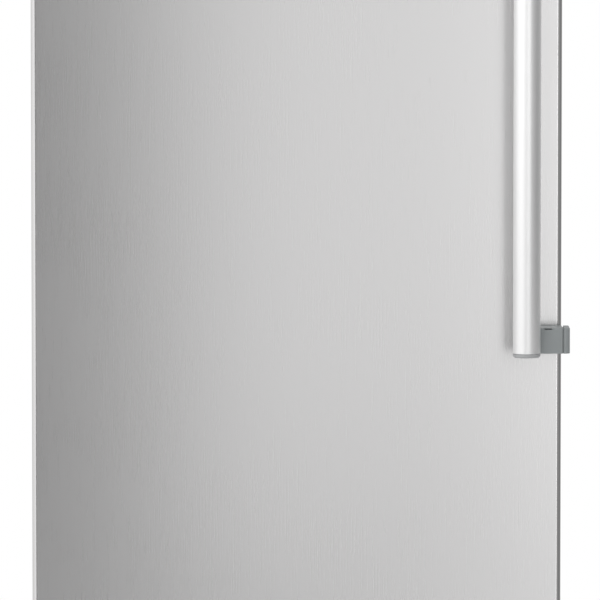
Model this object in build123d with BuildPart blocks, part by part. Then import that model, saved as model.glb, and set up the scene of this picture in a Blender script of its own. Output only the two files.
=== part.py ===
from build123d import *
import os
from math import sqrt

# Upright freezer with a steel door and a bar handle that levers the door open.
#
# Frame, in millimetres: +Z up, the door faces -Y, the hinges are on the left (-X) and the
# handle on the right (+X). The origin is on the floor, at the middle of the outline seen
# from above, handle included. A range is written as a pair (low, high) along one axis.

os.makedirs("parts", exist_ok=True)

# ---- Driving dimensions: cabinet ----------------------------------------------------
CAB_W = 600.0            # width of the cabinet and of the door
TOTAL_H = 1850.0         # floor to the roof
CAB_DEPTH = 575.0        # cabinet front to the spacers that touch the wall
COND_ZONE = 35.0         # depth behind the rear panel, for the condenser
FLOOR_GAP = 28.0         # floor to the underside
SHEET = 1.0              # painted or stainless sheet
FLANGE_W = 15.0          # folded edge of the shell at the front
LINER_T = 1.5            # moulded inner liner
SIDE_WALL = 57.5         # cabinet side wall, outside to inside
ROOF_WALL = 150.0        # roof wall, down to the cavity's ceiling
BACK_WALL = 60.0         # rear panel to the cavity's back
CAV_FLOOR = 125.0        # floor to the cavity's floor
NICHE_DEPTH = 215.0      # compressor niche, from the rear panel's plane
NICHE_TOP = 275.0        # floor to the niche's ceiling
NICHE_SIDE = 22.0        # foam beside the niche
NICHE_WALL = 52.0        # foam between the niche and the cavity
PLATE = 2.0              # base plate
FIT = 0.3                # gap between neighbours that must not touch
BORE_FIT = 0.05          # radial clearance of a shaft in its hole

# ---- Driving dimensions: door -------------------------------------------------------
DOOR_T = 63.0            # door thickness without its seal
DOOR_GAP = 12.0          # seal gap between door and cabinet
DOOR_FOOT = 80.0         # floor to the door's underside
DOOR_EDGE_R = 5.0        # rolled vertical edges of the door's front
CAP_H = 14.0             # plastic cap at each end of the door
RETURN_W = 12.0          # folded edge of the door skin at the back
RECESS = 12.0            # depth of the dished panel in the door liner
RECESS_INSET = (95.0, 120.0)   # border of that dish, sideways and up
GASKET_INSET = 16.0      # seal, in from the door's edges
GASKET_W = 18.0          # seal's foot
GASKET_LAYERS = ((0.0, 4.0), (3.5, 4.0), (1.0, 3.7))  # side inset, height of each layer
HINGE_INSET = 14.0       # hinge axis, in from the left edge
HINGE_SETBACK = 22.0     # hinge axis, in front of the door's inner face
PIN_R = 4.0              # hinge pin
BUSH_R = 7.0             # hinge bush
BUSH_L = 12.0            # hinge bush, length in its cap
COLLAR_R = 6.5           # washer face of a hinge pin
HINGE_PLATE = 3.0        # hinge bracket sheet
HINGE_CLEAR = 1.5        # bracket to door, and bracket to its other neighbour
BRACKET_IN = 3.0         # hinge bracket, in from the cabinet's side
BRACKET_W = 59.0         # hinge bracket, sideways
BRACKET_H = 40.0         # hinge bracket's upright flange
BRACKET_NOSE = 10.0      # bracket's plate, past the hinge pin
BRACKET_BORES = (19.0, 43.0)   # its screws, from its left edge
BRACKET_BORE_IN = 13.0   # its screws, in from the flange's free end

# ---- Driving dimensions: handle -----------------------------------------------------
BAR_R = 15.5             # bar handle, outside radius
BAR_WALL = 1.5           # bar handle, tube wall
BAR_IN = 41.0            # bar axis, in from the door's right edge
BAR_OUT = 55.0           # bar axis, in front of the door
LEVER_Z = 735.0          # underside of the lower lever
HANDLE_L = 500.0         # underside of the lower lever to the top of the upper one
LEVER_H = 29.0           # height of a lever
LEVER_IN = 50.0          # lever's inboard end, in from the door's right edge
LEVER_BACK = 4.5         # gap between lever and door
LEVER_WALL = 3.0         # wall of a lever
CHEEK = 8.5              # lever's cheek, out past the door's right edge
CHEEK_BACK = 6.0         # cheek's rear face, in front of the door
GROOVE = 1.2             # groove between the lever's front and its cheek
PIVOT = (12.0, 12.0)     # lever pivot: in from the right edge, out from the door
PIVOT_R = 3.0            # lever pivot pin
HUB_R = 7.0              # lever hub
EAR_R = 10.5             # ears of the handle base
EAR_T = 5.5              # thickness of an ear
BASE_T = 4.0             # foot plate of the handle base
BAR_END = 2.0            # tube end, up from the lever's underside
CAP_SHOW = 4.5           # visible height of a bar end cap
PUSHER_W = 4.0           # pusher rod, sideways
PUSHER_H = 6.0           # pusher rod, upright
PUSHER_IN = 4.5          # pusher axis, out past the door's right edge
FOOT_T = 3.0             # pusher foot, in the seal gap
FOOT_REACH = 12.0        # pusher foot, in from the door's right edge
LATCH_SLOT = ((9.6, 18.7), (27.0, 33.0))   # slot in the lever's top: in, and out
BASE_BORES = (29.0, 40.0)      # base's screws, in from the door's right edge

# ---- Driving dimensions: inside -----------------------------------------------------
DRAWER_COUNT = 6
SHELF_T = 4.0            # glass shelf
LEDGE = (6.0, 5.0)       # shelf ledge on the liner: width and height
DRAWER_SIDE = 9.0        # drawer to the liner's side wall
DRAWER_WALL = 2.5
DRAWER_FRONT = 4.0       # front panel of a drawer
DRAWER_SETBACK = 18.0    # drawer lip, behind the cabinet's front
LIP = (12.0, 3.0, 16.0)  # drawer lip: reach, thickness, height of its turned-down edge
DRAWER_HEAD = 14.0       # free height above a drawer
DUCT_DEPTH = 62.0        # air duct behind the evaporator cover
COVER_T = 3.0

# ---- Driving dimensions: fascia, plinth and feet ------------------------------------
FASCIA_H = 80.0          # fascia, up to the roof
FASCIA_GAP = 6.0         # door top to the fascia
FASCIA_T = 3.0
WINDOW = (110.0, 20.0)   # display window
WINDOW_RIM = 4.0         # pocket around the window
WINDOW_DEPTH = 1.5       # depth of that pocket
WINDOW_X = -60.0         # display window, from the cabinet's middle
BUTTON = (22.0, 11.0)    # face of a button
BUTTON_X = (50.0, 90.0, 130.0)  # buttons, from the cabinet's middle
BUTTON_PROUD = 1.5       # button face, in front of the fascia
BUTTON_TRAVEL = 1.2
BOARD_T = 1.6
BOARD_H = 44.0           # circuit board, upright
BOARD_BACK = 15.0        # circuit board, behind the fascia's front
BOARD_MARGIN = (25.0, 29.0)    # board, past the window and past the last button
POST_IN = (10.0, 6.0)    # board's posts, in from its ends and its long edges
POST_R = 3.0
SWITCH = (8.0, 4.0)      # switch behind a button: width and depth
PLINTH_GAP = 6.0         # door underside to the plinth
PLINTH_SETBACK = 30.0    # plinth, behind the door's front
PLINTH_T = 3.0
FOOT_R = 19.0            # pad of a front foot
FOOT_H = 8.0
STUD_R = 5.0             # stud of a front foot
STUD_TOP = 44.0
WHEEL_R = 12.0           # rear roller
WHEEL_W = 18.0
AXLE_R = 3.0
FOOT_INSET = (45.0, 45.0)      # front foot, in from the side and from the front
WHEEL_INSET = (45.0, 40.0)     # rear roller, in from the side and from the rear panel

# ---- Driving dimensions: cooling parts ----------------------------------------------
COMP_SIZE = (190.0, 150.0, 165.0)  # compressor at its seam: width, depth, height
SHELL_LIP = 4.0          # seam of the compressor's two halves, out from its wall
COMP_X = 70.0            # compressor, from the cabinet's middle
COMP_BACK = 20.0         # compressor, in from the rear panel's plane
COMP_PLATE_T = 2.5       # compressor's foot plate
MOUNT_SPAN = (164.0, 104.0)    # compressor's rubber mounts, from centre to centre
MOUNT_R = 11.0
MOUNT_NECK = 6.8         # neck of a mount, in the foot plate's hole
MOUNT_H = 12.0           # rubber mount under the compressor
COIL_RUNS = 15           # level runs of the condenser tube, an odd number
COIL_R = 2.5             # condenser tube
COIL_PITCH = 60.0        # from one level run to the next
COIL_FOOT = 440.0        # lowest run, above the floor
WIRE_T = 2.0             # square wire across the condenser
WIRE_COUNT = 12
WIRE_IN = 33.0           # outer wires, in from the ends of a level run
SPACER_IN = 20.0         # wall spacers, in from the ends of a level run
SPACER = (14.0, 18.0)    # wall spacer: width and height
COIL_BACK = 17.0         # condenser's plane, behind the rear panel
COIL_CLEAR = 14.0        # discharge pipe, past the condenser's bends
DISCHARGE_IN = 14.0      # discharge pipe, in from the niche's side
CAPILLARY_IN = 24.0      # capillary, in from the niche's side
CAPILLARY_BACK = 20.0    # capillary's hole, in from the rear panel
CAPILLARY_R = 1.2
SUCTION_LEFT = 40.0      # suction pipe, left of the compressor's middle
SUCTION_IN = 20.0        # suction pipe, in from the niche's front wall
PIPE_DEPTH = 14.0        # holes in the foam for both pipes
TRAY_SIZE = (170.0, 130.0, 28.0)   # melt water tray: width, depth, height
TRAY_WALL = 2.0
PIPE_R = 3.0             # refrigerant pipes
FIN_COUNT = 18
FIN_T = 1.0
EVAP_SIDE = 52.5         # evaporator's end fins, in from the cavity's sides
EVAP_DEPTH = 46.0
EVAP_H = 260.0
EVAP_BACK = 6.0          # evaporator to the cavity's back
EVAP_DROP = 100.0        # evaporator's top, below the fan's axis
EVAP_STUB = 10.0         # straight tube past the end fins
EVAP_ROWS = 5
FAN_R = 52.0             # tips of the fan blades
FAN_DROP = 100.0         # fan's axis, below the cavity's ceiling
FAN_BLADES = 7
SCREW_R = 2.4
SCREW_HEAD = (4.5, 2.5)  # screw head: radius and height
SCREW_L = 12.0
REAR_SCREW_ROWS = 4
REAR_SCREW_IN = 12.0     # rear screws, in from the cabinet's sides
REAR_SCREW_END = (55.0, 20.0)  # lowest above the niche, highest below the roof


# ---- Helpers ------------------------------------------------------------------------
def mid(limits):
    """Return the middle of a range."""
    return (limits[0] + limits[1]) / 2


def grow(limits, by):
    """Return the range with both ends moved outwards (inwards where by is negative)."""
    return (limits[0] - by, limits[1] + by)


def block(x, y, z, mode=Mode.ADD):
    """Add the block that fills the ranges x, y and z to the part being built."""
    with Locations((mid(x), mid(y), mid(z))):
        Box(x[1] - x[0], y[1] - y[0], z[1] - z[0], mode=mode)


def rod(centre, radius, length, axis="z", mode=Mode.ADD):
    """Add a round bar or, by its mode, a hole, centred on a point and along one axis."""
    turns = {"x": (0, 90, 0), "y": (90, 0, 0), "z": (0, 0, 0)}
    with Locations(centre):
        Cylinder(radius, length, rotation=turns[axis], mode=mode)


def front_plane(y):
    """Return the upright plane at depth y, with X to the right, Z up and its normal to the front."""
    return Plane.XZ.offset(-y)


def panel(x, z, radius=0.0, mode=Mode.ADD):
    """Draw the rectangle that fills the ranges x and z of an upright plane."""
    with Locations((mid(x), mid(z))):
        if radius > 0:
            RectangleRounded(x[1] - x[0], z[1] - z[0], radius, mode=mode)
        else:
            Rectangle(x[1] - x[0], z[1] - z[0], mode=mode)


def save(piece, name):
    """Label a finished piece and write it to its own file."""
    piece.label = name
    export_step(piece, f"parts/{name}.step")


# ---- Places worked out from the driving dimensions ----------------------------------
HANDLE_REACH = BAR_OUT + BAR_R
DEPTH = HANDLE_REACH + DOOR_T + DOOR_GAP + CAB_DEPTH
XC = -CHEEK / 2                          # middle of the cabinet
CAB_X = (XC - CAB_W / 2, XC + CAB_W / 2)
Y_WALL = DEPTH / 2                       # the wall behind the freezer
CAB_Y = (Y_WALL - CAB_DEPTH, Y_WALL - COND_ZONE)
CAB_Z = (FLOOR_GAP, TOTAL_H)
FASCIA_Z = (TOTAL_H - FASCIA_H, TOTAL_H)
FASCIA_MID = mid(FASCIA_Z)
DOOR_Z = (DOOR_FOOT, FASCIA_Z[0] - FASCIA_GAP)
DOOR_Y = (CAB_Y[0] - DOOR_GAP - DOOR_T, CAB_Y[0] - DOOR_GAP)
CAV_X = grow(CAB_X, -SIDE_WALL)
CAV_Y = (CAB_Y[0], CAB_Y[1] - BACK_WALL)
CAV_Z = (CAV_FLOOR, TOTAL_H - ROOF_WALL)
NICHE_X = grow(CAB_X, -NICHE_SIDE)
NICHE_Y = (CAB_Y[1] - NICHE_DEPTH, CAB_Y[1])
NICHE_Z = (FLOOR_GAP + PLATE, NICHE_TOP)
HUMP_Y = NICHE_Y[0] - NICHE_WALL         # front of the step inside the cavity
HUMP_Z = NICHE_TOP + NICHE_WALL          # top of the step inside the cavity
COVER_Y = (CAV_Y[1] - DUCT_DEPTH - COVER_T, CAV_Y[1] - DUCT_DEPTH)
HINGE = (CAB_X[0] + HINGE_INSET, DOOR_Y[1] - HINGE_SETBACK)
PLINTH_TOP = DOOR_Z[0] - PLINTH_GAP
FOOT_PLACES = [(x, CAB_Y[0] + FOOT_INSET[1]) for x in grow(CAB_X, -FOOT_INSET[0])]
WHEEL_PLACES = [(x, CAB_Y[1] - WHEEL_INSET[1]) for x in grow(CAB_X, -WHEEL_INSET[0])]
COMP_AT = (XC + COMP_X, CAB_Y[1] - COMP_SIZE[1] / 2 - COMP_BACK)
BOARD_Y = (DOOR_Y[0] + BOARD_BACK, DOOR_Y[0] + BOARD_BACK + BOARD_T)

# Shelves: the lowest drawer stands on the cavity's floor, the others on glass shelves.
SHELF_FOOT = HUMP_Z + LEDGE[1]
SHELF_STEP = (CAV_Z[1] - SHELF_FOOT) / (DRAWER_COUNT - 1)
SHELF_Z = [SHELF_FOOT + i * SHELF_STEP for i in range(DRAWER_COUNT - 1)]
SHELF_Y = (CAB_Y[0] + DRAWER_SETBACK + LIP[0], COVER_Y[0] - FIT)

# Screws: (x, z) on the rear panel and on the two hinge brackets.
REAR_SCREW_Z = (NICHE_TOP + REAR_SCREW_END[0], TOTAL_H - REAR_SCREW_END[1])
REAR_SCREW_STEP = (REAR_SCREW_Z[1] - REAR_SCREW_Z[0]) / (REAR_SCREW_ROWS - 1)
REAR_SCREWS = [(x, REAR_SCREW_Z[0] + row * REAR_SCREW_STEP)
               for x in grow(CAB_X, -REAR_SCREW_IN) for row in range(REAR_SCREW_ROWS)]
BRACKET_X = (CAB_X[0] + BRACKET_IN, CAB_X[0] + BRACKET_IN + BRACKET_W)
TOP_BRACKET_Z = (DOOR_Z[1] + HINGE_CLEAR, DOOR_Z[1] + HINGE_CLEAR + BRACKET_H)
LOW_BRACKET_Z = (DOOR_Z[0] - HINGE_CLEAR - BRACKET_H, DOOR_Z[0] - HINGE_CLEAR)
BRACKET_SCREWS = [(BRACKET_X[0] + x, z) for x in BRACKET_BORES
                  for z in (TOP_BRACKET_Z[1] - BRACKET_BORE_IN, LOW_BRACKET_Z[0] + BRACKET_BORE_IN)]


# ---- Cabinet ------------------------------------------------------------------------
def screw_holes(places, y, depth, radius):
    """Drill level holes at (x, z) places from the plane y, backwards where depth is positive."""
    for x, z in places:
        rod((x, y + depth / 2, z), radius, abs(depth), "y", Mode.SUBTRACT)


with BuildPart() as cabinet_shell:
    with BuildSketch(front_plane(CAB_Y[0])):
        panel(CAB_X, CAB_Z)
        panel(grow(CAB_X, -SHEET), (CAB_Z[0], CAB_Z[1] - SHEET), mode=Mode.SUBTRACT)
    extrude(amount=CAB_Y[0] - CAB_Y[1])
    with BuildSketch(front_plane(CAB_Y[0])):
        panel(CAB_X, CAB_Z)
        panel(grow(CAB_X, -FLANGE_W), (CAB_Z[0], CAB_Z[1] - FLANGE_W), mode=Mode.SUBTRACT)
    extrude(amount=-SHEET)
    screw_holes(BRACKET_SCREWS, CAB_Y[0] - 1, SHEET + 2, SCREW_R + FIT)
save(cabinet_shell.part, "cabinet_shell")

with BuildPart() as rear_panel:
    with BuildSketch(front_plane(CAB_Y[1] - SHEET)):
        panel(grow(CAB_X, -SHEET), (NICHE_TOP, CAB_Z[1] - SHEET))
    extrude(amount=-SHEET)
    screw_holes(REAR_SCREWS, CAB_Y[1] - SHEET - 1, SHEET + 2, SCREW_R + FIT)
save(rear_panel.part, "rear_panel")


def cavity(by, mode=Mode.ADD):
    """Add the cavity, grown sideways, backwards, up and down, and stepped over the niche."""
    x = grow(CAV_X, by)
    front = CAV_Y[0]
    back = CAV_Y[1] + by
    block(x, (front, back), (HUMP_Z - by, CAV_Z[1] + by), mode)
    block(x, (front, HUMP_Y + by), (CAV_Z[0] - by, HUMP_Z - by), mode)


# Both pipes end in the niche's ceiling, in holes of the foam.
SUCTION_AT = (COMP_AT[0] - SUCTION_LEFT, NICHE_Y[0] + SUCTION_IN)
CAPILLARY_AT = (NICHE_X[0] + CAPILLARY_IN, CAB_Y[1] - CAPILLARY_BACK)

with BuildPart() as cabinet_insulation:
    block(grow(CAB_X, -SHEET), (CAB_Y[0] + SHEET, CAB_Y[1] - SHEET),
          (FLOOR_GAP + PLATE, CAB_Z[1] - SHEET))
    cavity(LINER_T, Mode.SUBTRACT)
    block(NICHE_X, (NICHE_Y[0], NICHE_Y[1] + 1), NICHE_Z, Mode.SUBTRACT)
    for foot_x, foot_y in FOOT_PLACES:
        rod((foot_x, foot_y, FLOOR_GAP + 11), STUD_R + 5, 22, mode=Mode.SUBTRACT)
    screw_holes(REAR_SCREWS, CAB_Y[1], -SCREW_L - 2, SCREW_R + FIT)
    screw_holes(BRACKET_SCREWS, CAB_Y[0], SCREW_L + 2, SCREW_R + FIT)
    rod((*SUCTION_AT, NICHE_TOP), PIPE_R + FIT, 2 * PIPE_DEPTH, mode=Mode.SUBTRACT)
    rod((*CAPILLARY_AT, NICHE_TOP), CAPILLARY_R + FIT, 2 * PIPE_DEPTH, mode=Mode.SUBTRACT)
save(cabinet_insulation.part, "cabinet_insulation")

with BuildPart() as inner_liner:
    cavity(LINER_T)
    block(grow(CAB_X, -FLANGE_W), (CAB_Y[0], CAB_Y[0] + SHEET),
          (FLOOR_GAP + PLATE, CAB_Z[1] - FLANGE_W))
    cavity(0, Mode.SUBTRACT)
    for shelf in SHELF_Z:
        for side, way in ((CAV_X[0], 1), (CAV_X[1], -1)):
            ledge_x = sorted((side, side + way * LEDGE[0]))
            block(ledge_x, SHELF_Y, (shelf - LEDGE[1], shelf))
    screw_holes(BRACKET_SCREWS, CAB_Y[0] - 1, SHEET + 2, SCREW_R + FIT)
save(inner_liner.part, "inner_liner")

# The base plate carries the feet's nuts, the roller brackets and the compressor.
BOSS_R = STUD_R + 4
BOSS_TOP = FLOOR_GAP + 18.0
EAR_GAP = WHEEL_W + 2 * FIT
AXLE_Z = WHEEL_R
with BuildPart() as base_frame:
    block(grow(CAB_X, -SHEET - 0.2), (CAB_Y[0] + SHEET, CAB_Y[1]), (FLOOR_GAP, FLOOR_GAP + PLATE))
    for foot_x, foot_y in FOOT_PLACES:
        rod((foot_x, foot_y, (FLOOR_GAP + BOSS_TOP) / 2), BOSS_R, BOSS_TOP - FLOOR_GAP)
        rod((foot_x, foot_y, FLOOR_GAP), STUD_R + BORE_FIT, 60, mode=Mode.SUBTRACT)
    for wheel_x, wheel_y in WHEEL_PLACES:
        for side in (-1, 1):
            ear_x = wheel_x + side * (EAR_GAP / 2 + PLATE / 2)
            block((ear_x - PLATE / 2, ear_x + PLATE / 2), (wheel_y - 11, wheel_y + 11),
                  (AXLE_Z - 7, FLOOR_GAP))
            rod((ear_x, wheel_y, AXLE_Z), AXLE_R + BORE_FIT, PLATE + 2, "x", Mode.SUBTRACT)
save(base_frame.part, "base_frame")

with BuildPart() as roller_axles:
    for wheel_x, wheel_y in WHEEL_PLACES:
        rod((wheel_x, wheel_y, AXLE_Z), AXLE_R, EAR_GAP + 2 * PLATE + 3, "x")
        for side in (-1, 1):
            rod((wheel_x + side * (EAR_GAP / 2 + PLATE + 1.5), wheel_y, AXLE_Z), AXLE_R + 1.5, 1.6, "x")
save(roller_axles.part, "roller_axles")


def build_roller(place):
    """Return a rear roller: a grooved wheel with a hub, bored for its axle."""
    with BuildPart() as roller:
        rod((place[0], place[1], AXLE_Z), WHEEL_R, WHEEL_W, "x")
        chamfer(edges().filter_by(GeomType.CIRCLE), 1.2)
        for side in (-1, 1):
            rod((place[0] + side * WHEEL_W / 2, place[1], AXLE_Z), WHEEL_R - 3, 3, "x", Mode.SUBTRACT)
        rod((place[0], place[1], AXLE_Z), AXLE_R + 2.5, WHEEL_W, "x")
        rod((place[0], place[1], AXLE_Z), AXLE_R + BORE_FIT, WHEEL_W + 2, "x", Mode.SUBTRACT)
    return roller.part


save(build_roller(WHEEL_PLACES[0]), "rear_roller_left")
save(build_roller(WHEEL_PLACES[1]), "rear_roller_right")


def build_foot(place):
    """Return a front foot: a round pad with a grip rim, a hexagon and a stud."""
    with BuildPart() as foot:
        with BuildSketch(Plane.XY):
            with Locations(place):
                Circle(FOOT_R)
                with PolarLocations(FOOT_R + 1.0, 12):
                    Circle(2.4, mode=Mode.SUBTRACT)
        extrude(amount=FOOT_H)
        with BuildSketch(Plane.XY.offset(FOOT_H)):
            with Locations(place):
                RegularPolygon(STUD_R + 3, 6)
        extrude(amount=6)
        rod((place[0], place[1], (FOOT_H + STUD_TOP) / 2), STUD_R, STUD_TOP - FOOT_H)
        chamfer(edges().group_by(Axis.Z)[-1], 1.0)
    return foot.part


save(build_foot(FOOT_PLACES[0]), "front_foot_left")
save(build_foot(FOOT_PLACES[1]), "front_foot_right")

PLINTH_Y = DOOR_Y[0] + PLINTH_SETBACK
PLINTH_Z = (32.0, PLINTH_TOP)
PLINTH_SLOT = (38.0, 5.0)
PLINTH_PITCH = (48.0, 10.0)
with BuildPart() as plinth_grille:
    block(CAB_X, (PLINTH_Y, CAB_Y[0]), PLINTH_Z)
    block(grow(CAB_X, -PLINTH_T), (PLINTH_Y + PLINTH_T, CAB_Y[0] + 1),
          (PLINTH_Z[0] - 1, PLINTH_Z[1] - PLINTH_T), Mode.SUBTRACT)
    fillet(edges().filter_by(Axis.Z).group_by(Axis.Y)[0], 2.5)
    with BuildSketch(front_plane(PLINTH_Y)):
        with Locations((XC, mid(PLINTH_Z) - 1)):
            with GridLocations(PLINTH_PITCH[0], PLINTH_PITCH[1], 10, 3):
                SlotOverall(PLINTH_SLOT[0], PLINTH_SLOT[1])
    extrude(amount=-PLINTH_T, mode=Mode.SUBTRACT)
    block((CAB_X[0] - 1, BRACKET_X[1] + 2), (CAB_Y[0] - HINGE_PLATE - 1, CAB_Y[0] + 1),
          (PLINTH_TOP - PLINTH_T - 1, PLINTH_TOP + 1), Mode.SUBTRACT)
save(plinth_grille.part, "plinth_grille")


# ---- Hinges -------------------------------------------------------------------------
def build_hinge_bracket(level, upright):
    """Return a hinge bracket: a level plate with its pin hole and an upright flange.

    level is the plate's range in z and upright the flange's.
    """
    with BuildPart() as bracket:
        with BuildSketch(Plane.XY.offset(level[0])):
            plate_y = (HINGE[1] - BRACKET_NOSE, CAB_Y[0])
            with Locations((mid(BRACKET_X), mid(plate_y))):
                Rectangle(BRACKET_W, plate_y[1] - plate_y[0])
            chamfer(vertices().sort_by(Axis.Y)[:2].sort_by(Axis.X)[-1], 26)
            fillet(vertices().sort_by(Axis.Y)[:2].sort_by(Axis.X)[0], 6)
        extrude(amount=level[1] - level[0])
        block(BRACKET_X, (CAB_Y[0] - HINGE_PLATE, CAB_Y[0]), upright)
        rod((HINGE[0], HINGE[1], mid(level)), PIN_R + BORE_FIT, 3 * HINGE_PLATE, mode=Mode.SUBTRACT)
        screw_holes(BRACKET_SCREWS, CAB_Y[0] - 2 * HINGE_PLATE, 3 * HINGE_PLATE, SCREW_R + 0.1)
    return bracket.part


TOP_LEVEL = (TOP_BRACKET_Z[0], TOP_BRACKET_Z[0] + HINGE_PLATE)
LOW_LEVEL = (LOW_BRACKET_Z[1] - HINGE_PLATE, LOW_BRACKET_Z[1])
save(build_hinge_bracket(TOP_LEVEL, TOP_BRACKET_Z), "top_hinge_bracket")
save(build_hinge_bracket(LOW_LEVEL, LOW_BRACKET_Z), "bottom_hinge_bracket")

with BuildPart() as hinge_pins:
    for plate, door_face, way in ((TOP_LEVEL, DOOR_Z[1], -1), (LOW_LEVEL, DOOR_Z[0], 1)):
        foot = plate[1] if way < 0 else plate[0]
        tip = door_face + way * (BUSH_L - 2)
        rod((HINGE[0], HINGE[1], (foot + tip) / 2), PIN_R, abs(tip - foot))
        inner = plate[0] if way < 0 else plate[1]
        rod((HINGE[0], HINGE[1], inner + way * (HINGE_CLEAR - FIT) / 2), COLLAR_R, HINGE_CLEAR - FIT)
save(hinge_pins.part, "hinge_pins")

with BuildPart() as hinge_bushes:
    for door_face, way in ((DOOR_Z[1], -1), (DOOR_Z[0], 1)):
        rod((HINGE[0], HINGE[1], door_face + way * BUSH_L / 2), BUSH_R - 0.02, BUSH_L)
        rod((HINGE[0], HINGE[1], door_face + way * BUSH_L / 2), PIN_R + BORE_FIT, BUSH_L + 2,
            mode=Mode.SUBTRACT)
save(hinge_bushes.part, "hinge_bushes")


# ---- Door ---------------------------------------------------------------------------
def door_plan(inset):
    """Draw the door's outline seen from above, with its rolled front edges."""
    x = grow(DOOR_X, -inset)
    y = (DOOR_Y[0] + inset, DOOR_Y[1] - inset)
    with Locations((mid(x), mid(y))):
        Rectangle(x[1] - x[0], y[1] - y[0])
    fillet(vertices().group_by(Axis.Y)[0], DOOR_EDGE_R - inset)


DOOR_X = CAB_X
SKIN_Z = grow(DOOR_Z, -CAP_H)
DISH_X = grow(DOOR_X, -RECESS_INSET[0])
DISH_Z = grow(DOOR_Z, -RECESS_INSET[1])
HANDLE_Z = (LEVER_Z, LEVER_Z + HANDLE_L)
HANDLE_MID = Plane.XY.offset(mid(HANDLE_Z))
BASE_SCREWS = [(CAB_X[1] - u, z) for u in BASE_BORES
               for z in (HANDLE_Z[0] + LEVER_H / 2, HANDLE_Z[1] - LEVER_H / 2)]

with BuildPart() as door_skin:
    with BuildSketch(Plane.XY.offset(SKIN_Z[0])):
        door_plan(0)
        with Locations((mid(DOOR_X), mid(DOOR_Y) + SHEET)):
            Rectangle(CAB_W - 2 * RETURN_W, DOOR_T, mode=Mode.SUBTRACT)
        with BuildSketch(mode=Mode.SUBTRACT):
            door_plan(SHEET)
    extrude(amount=SKIN_Z[1] - SKIN_Z[0])
    screw_holes(BASE_SCREWS, DOOR_Y[0] - 1, SHEET + 2, SCREW_R + FIT)
save(door_skin.part, "door_skin")


def build_door_cap(z):
    """Return a door cap for the range z, with the hole for its hinge bush."""
    with BuildPart() as cap:
        with BuildSketch(Plane.XY.offset(z[0])):
            door_plan(0)
        extrude(amount=z[1] - z[0])
        rod((HINGE[0], HINGE[1], mid(z)), BUSH_R, CAP_H + 2, mode=Mode.SUBTRACT)
        outer = edges().filter_by(Axis.X).group_by(Axis.Z)[0 if z[0] == DOOR_Z[0] else -1]
        chamfer(outer.sort_by(Axis.Y)[0], 0.8)
    return cap.part


save(build_door_cap((DOOR_Z[0], SKIN_Z[0])), "door_cap_bottom")
save(build_door_cap((SKIN_Z[1], DOOR_Z[1])), "door_cap_top")

with BuildPart() as door_insulation:
    with BuildSketch(Plane.XY.offset(SKIN_Z[0])):
        door_plan(SHEET)
    extrude(amount=SKIN_Z[1] - SKIN_Z[0])
    block(grow(DISH_X, LINER_T), (DOOR_Y[1] - RECESS - LINER_T, DOOR_Y[1] + 1),
          grow(DISH_Z, LINER_T), Mode.SUBTRACT)
    block(grow(DOOR_X, -RETURN_W), (DOOR_Y[1] - LINER_T, DOOR_Y[1]), SKIN_Z, Mode.SUBTRACT)
    screw_holes(BASE_SCREWS, DOOR_Y[0], SCREW_L + 2, SCREW_R + FIT)
save(door_insulation.part, "door_insulation")

RIB_COUNT = 4
with BuildPart() as door_liner:
    block(grow(DOOR_X, -RETURN_W), (DOOR_Y[1] - LINER_T, DOOR_Y[1]), SKIN_Z)
    block(grow(DISH_X, LINER_T), (DOOR_Y[1] - RECESS - LINER_T, DOOR_Y[1]), grow(DISH_Z, LINER_T))
    block(DISH_X, (DOOR_Y[1] - RECESS, DOOR_Y[1] + 1), DISH_Z, Mode.SUBTRACT)
    for i in range(RIB_COUNT):
        rib_z = DISH_Z[0] + (i + 1) * (DISH_Z[1] - DISH_Z[0]) / (RIB_COUNT + 1)
        block(DISH_X, (DOOR_Y[1] - RECESS, DOOR_Y[1] - RECESS + 6), (rib_z - 14, rib_z + 14))
save(door_liner.part, "door_liner")

with BuildPart() as door_gasket:
    layer_y = DOOR_Y[1]
    for side_inset, height in GASKET_LAYERS:
        with BuildSketch(front_plane(layer_y)):
            outer = GASKET_INSET + side_inset
            inner = GASKET_INSET + GASKET_W - side_inset
            panel(grow(DOOR_X, -outer), grow(DOOR_Z, -outer), 8)
            panel(grow(DOOR_X, -inner), grow(DOOR_Z, -inner), 3, mode=Mode.SUBTRACT)
        extrude(amount=-height)
        layer_y += height
save(door_gasket.part, "door_gasket")


# ---- Handle: built at the lower end, mirrored to the upper one -----------------------
def from_edge(inboard):
    """Return the x of a point that lies this far in from the door's right edge."""
    return CAB_X[1] - inboard


def from_face(outwards):
    """Return the y of a point that lies this far in front of the door."""
    return DOOR_Y[0] - outwards


def edge_block(u, v, z, mode=Mode.ADD):
    """Add a block given by its distances in from the right edge (u) and out from the door (v)."""
    block((from_edge(u[1]), from_edge(u[0])), (from_face(v[1]), from_face(v[0])), z, mode)


LEVER_FRONT = BAR_OUT - BAR_R - FIT      # lever's front face, out from the door
LEVER_TOP = LEVER_Z + LEVER_H
PIVOT_AT = (from_edge(PIVOT[0]), from_face(PIVOT[1]))
BAR_AT = (from_edge(BAR_IN), from_face(BAR_OUT))
EAR_LOW = (LEVER_Z + LEVER_WALL + 0.6, LEVER_Z + LEVER_WALL + 0.6 + EAR_T)
EAR_HIGH = (LEVER_TOP - LEVER_WALL - 0.6 - EAR_T, LEVER_TOP - LEVER_WALL - 0.6)
HUB_Z = (EAR_LOW[1] + FIT, EAR_HIGH[0] - FIT)
SPIGOT_R = 4.0
EDGE_IN = 0.5                            # lever's hollow stops here, in from the edge

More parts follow.
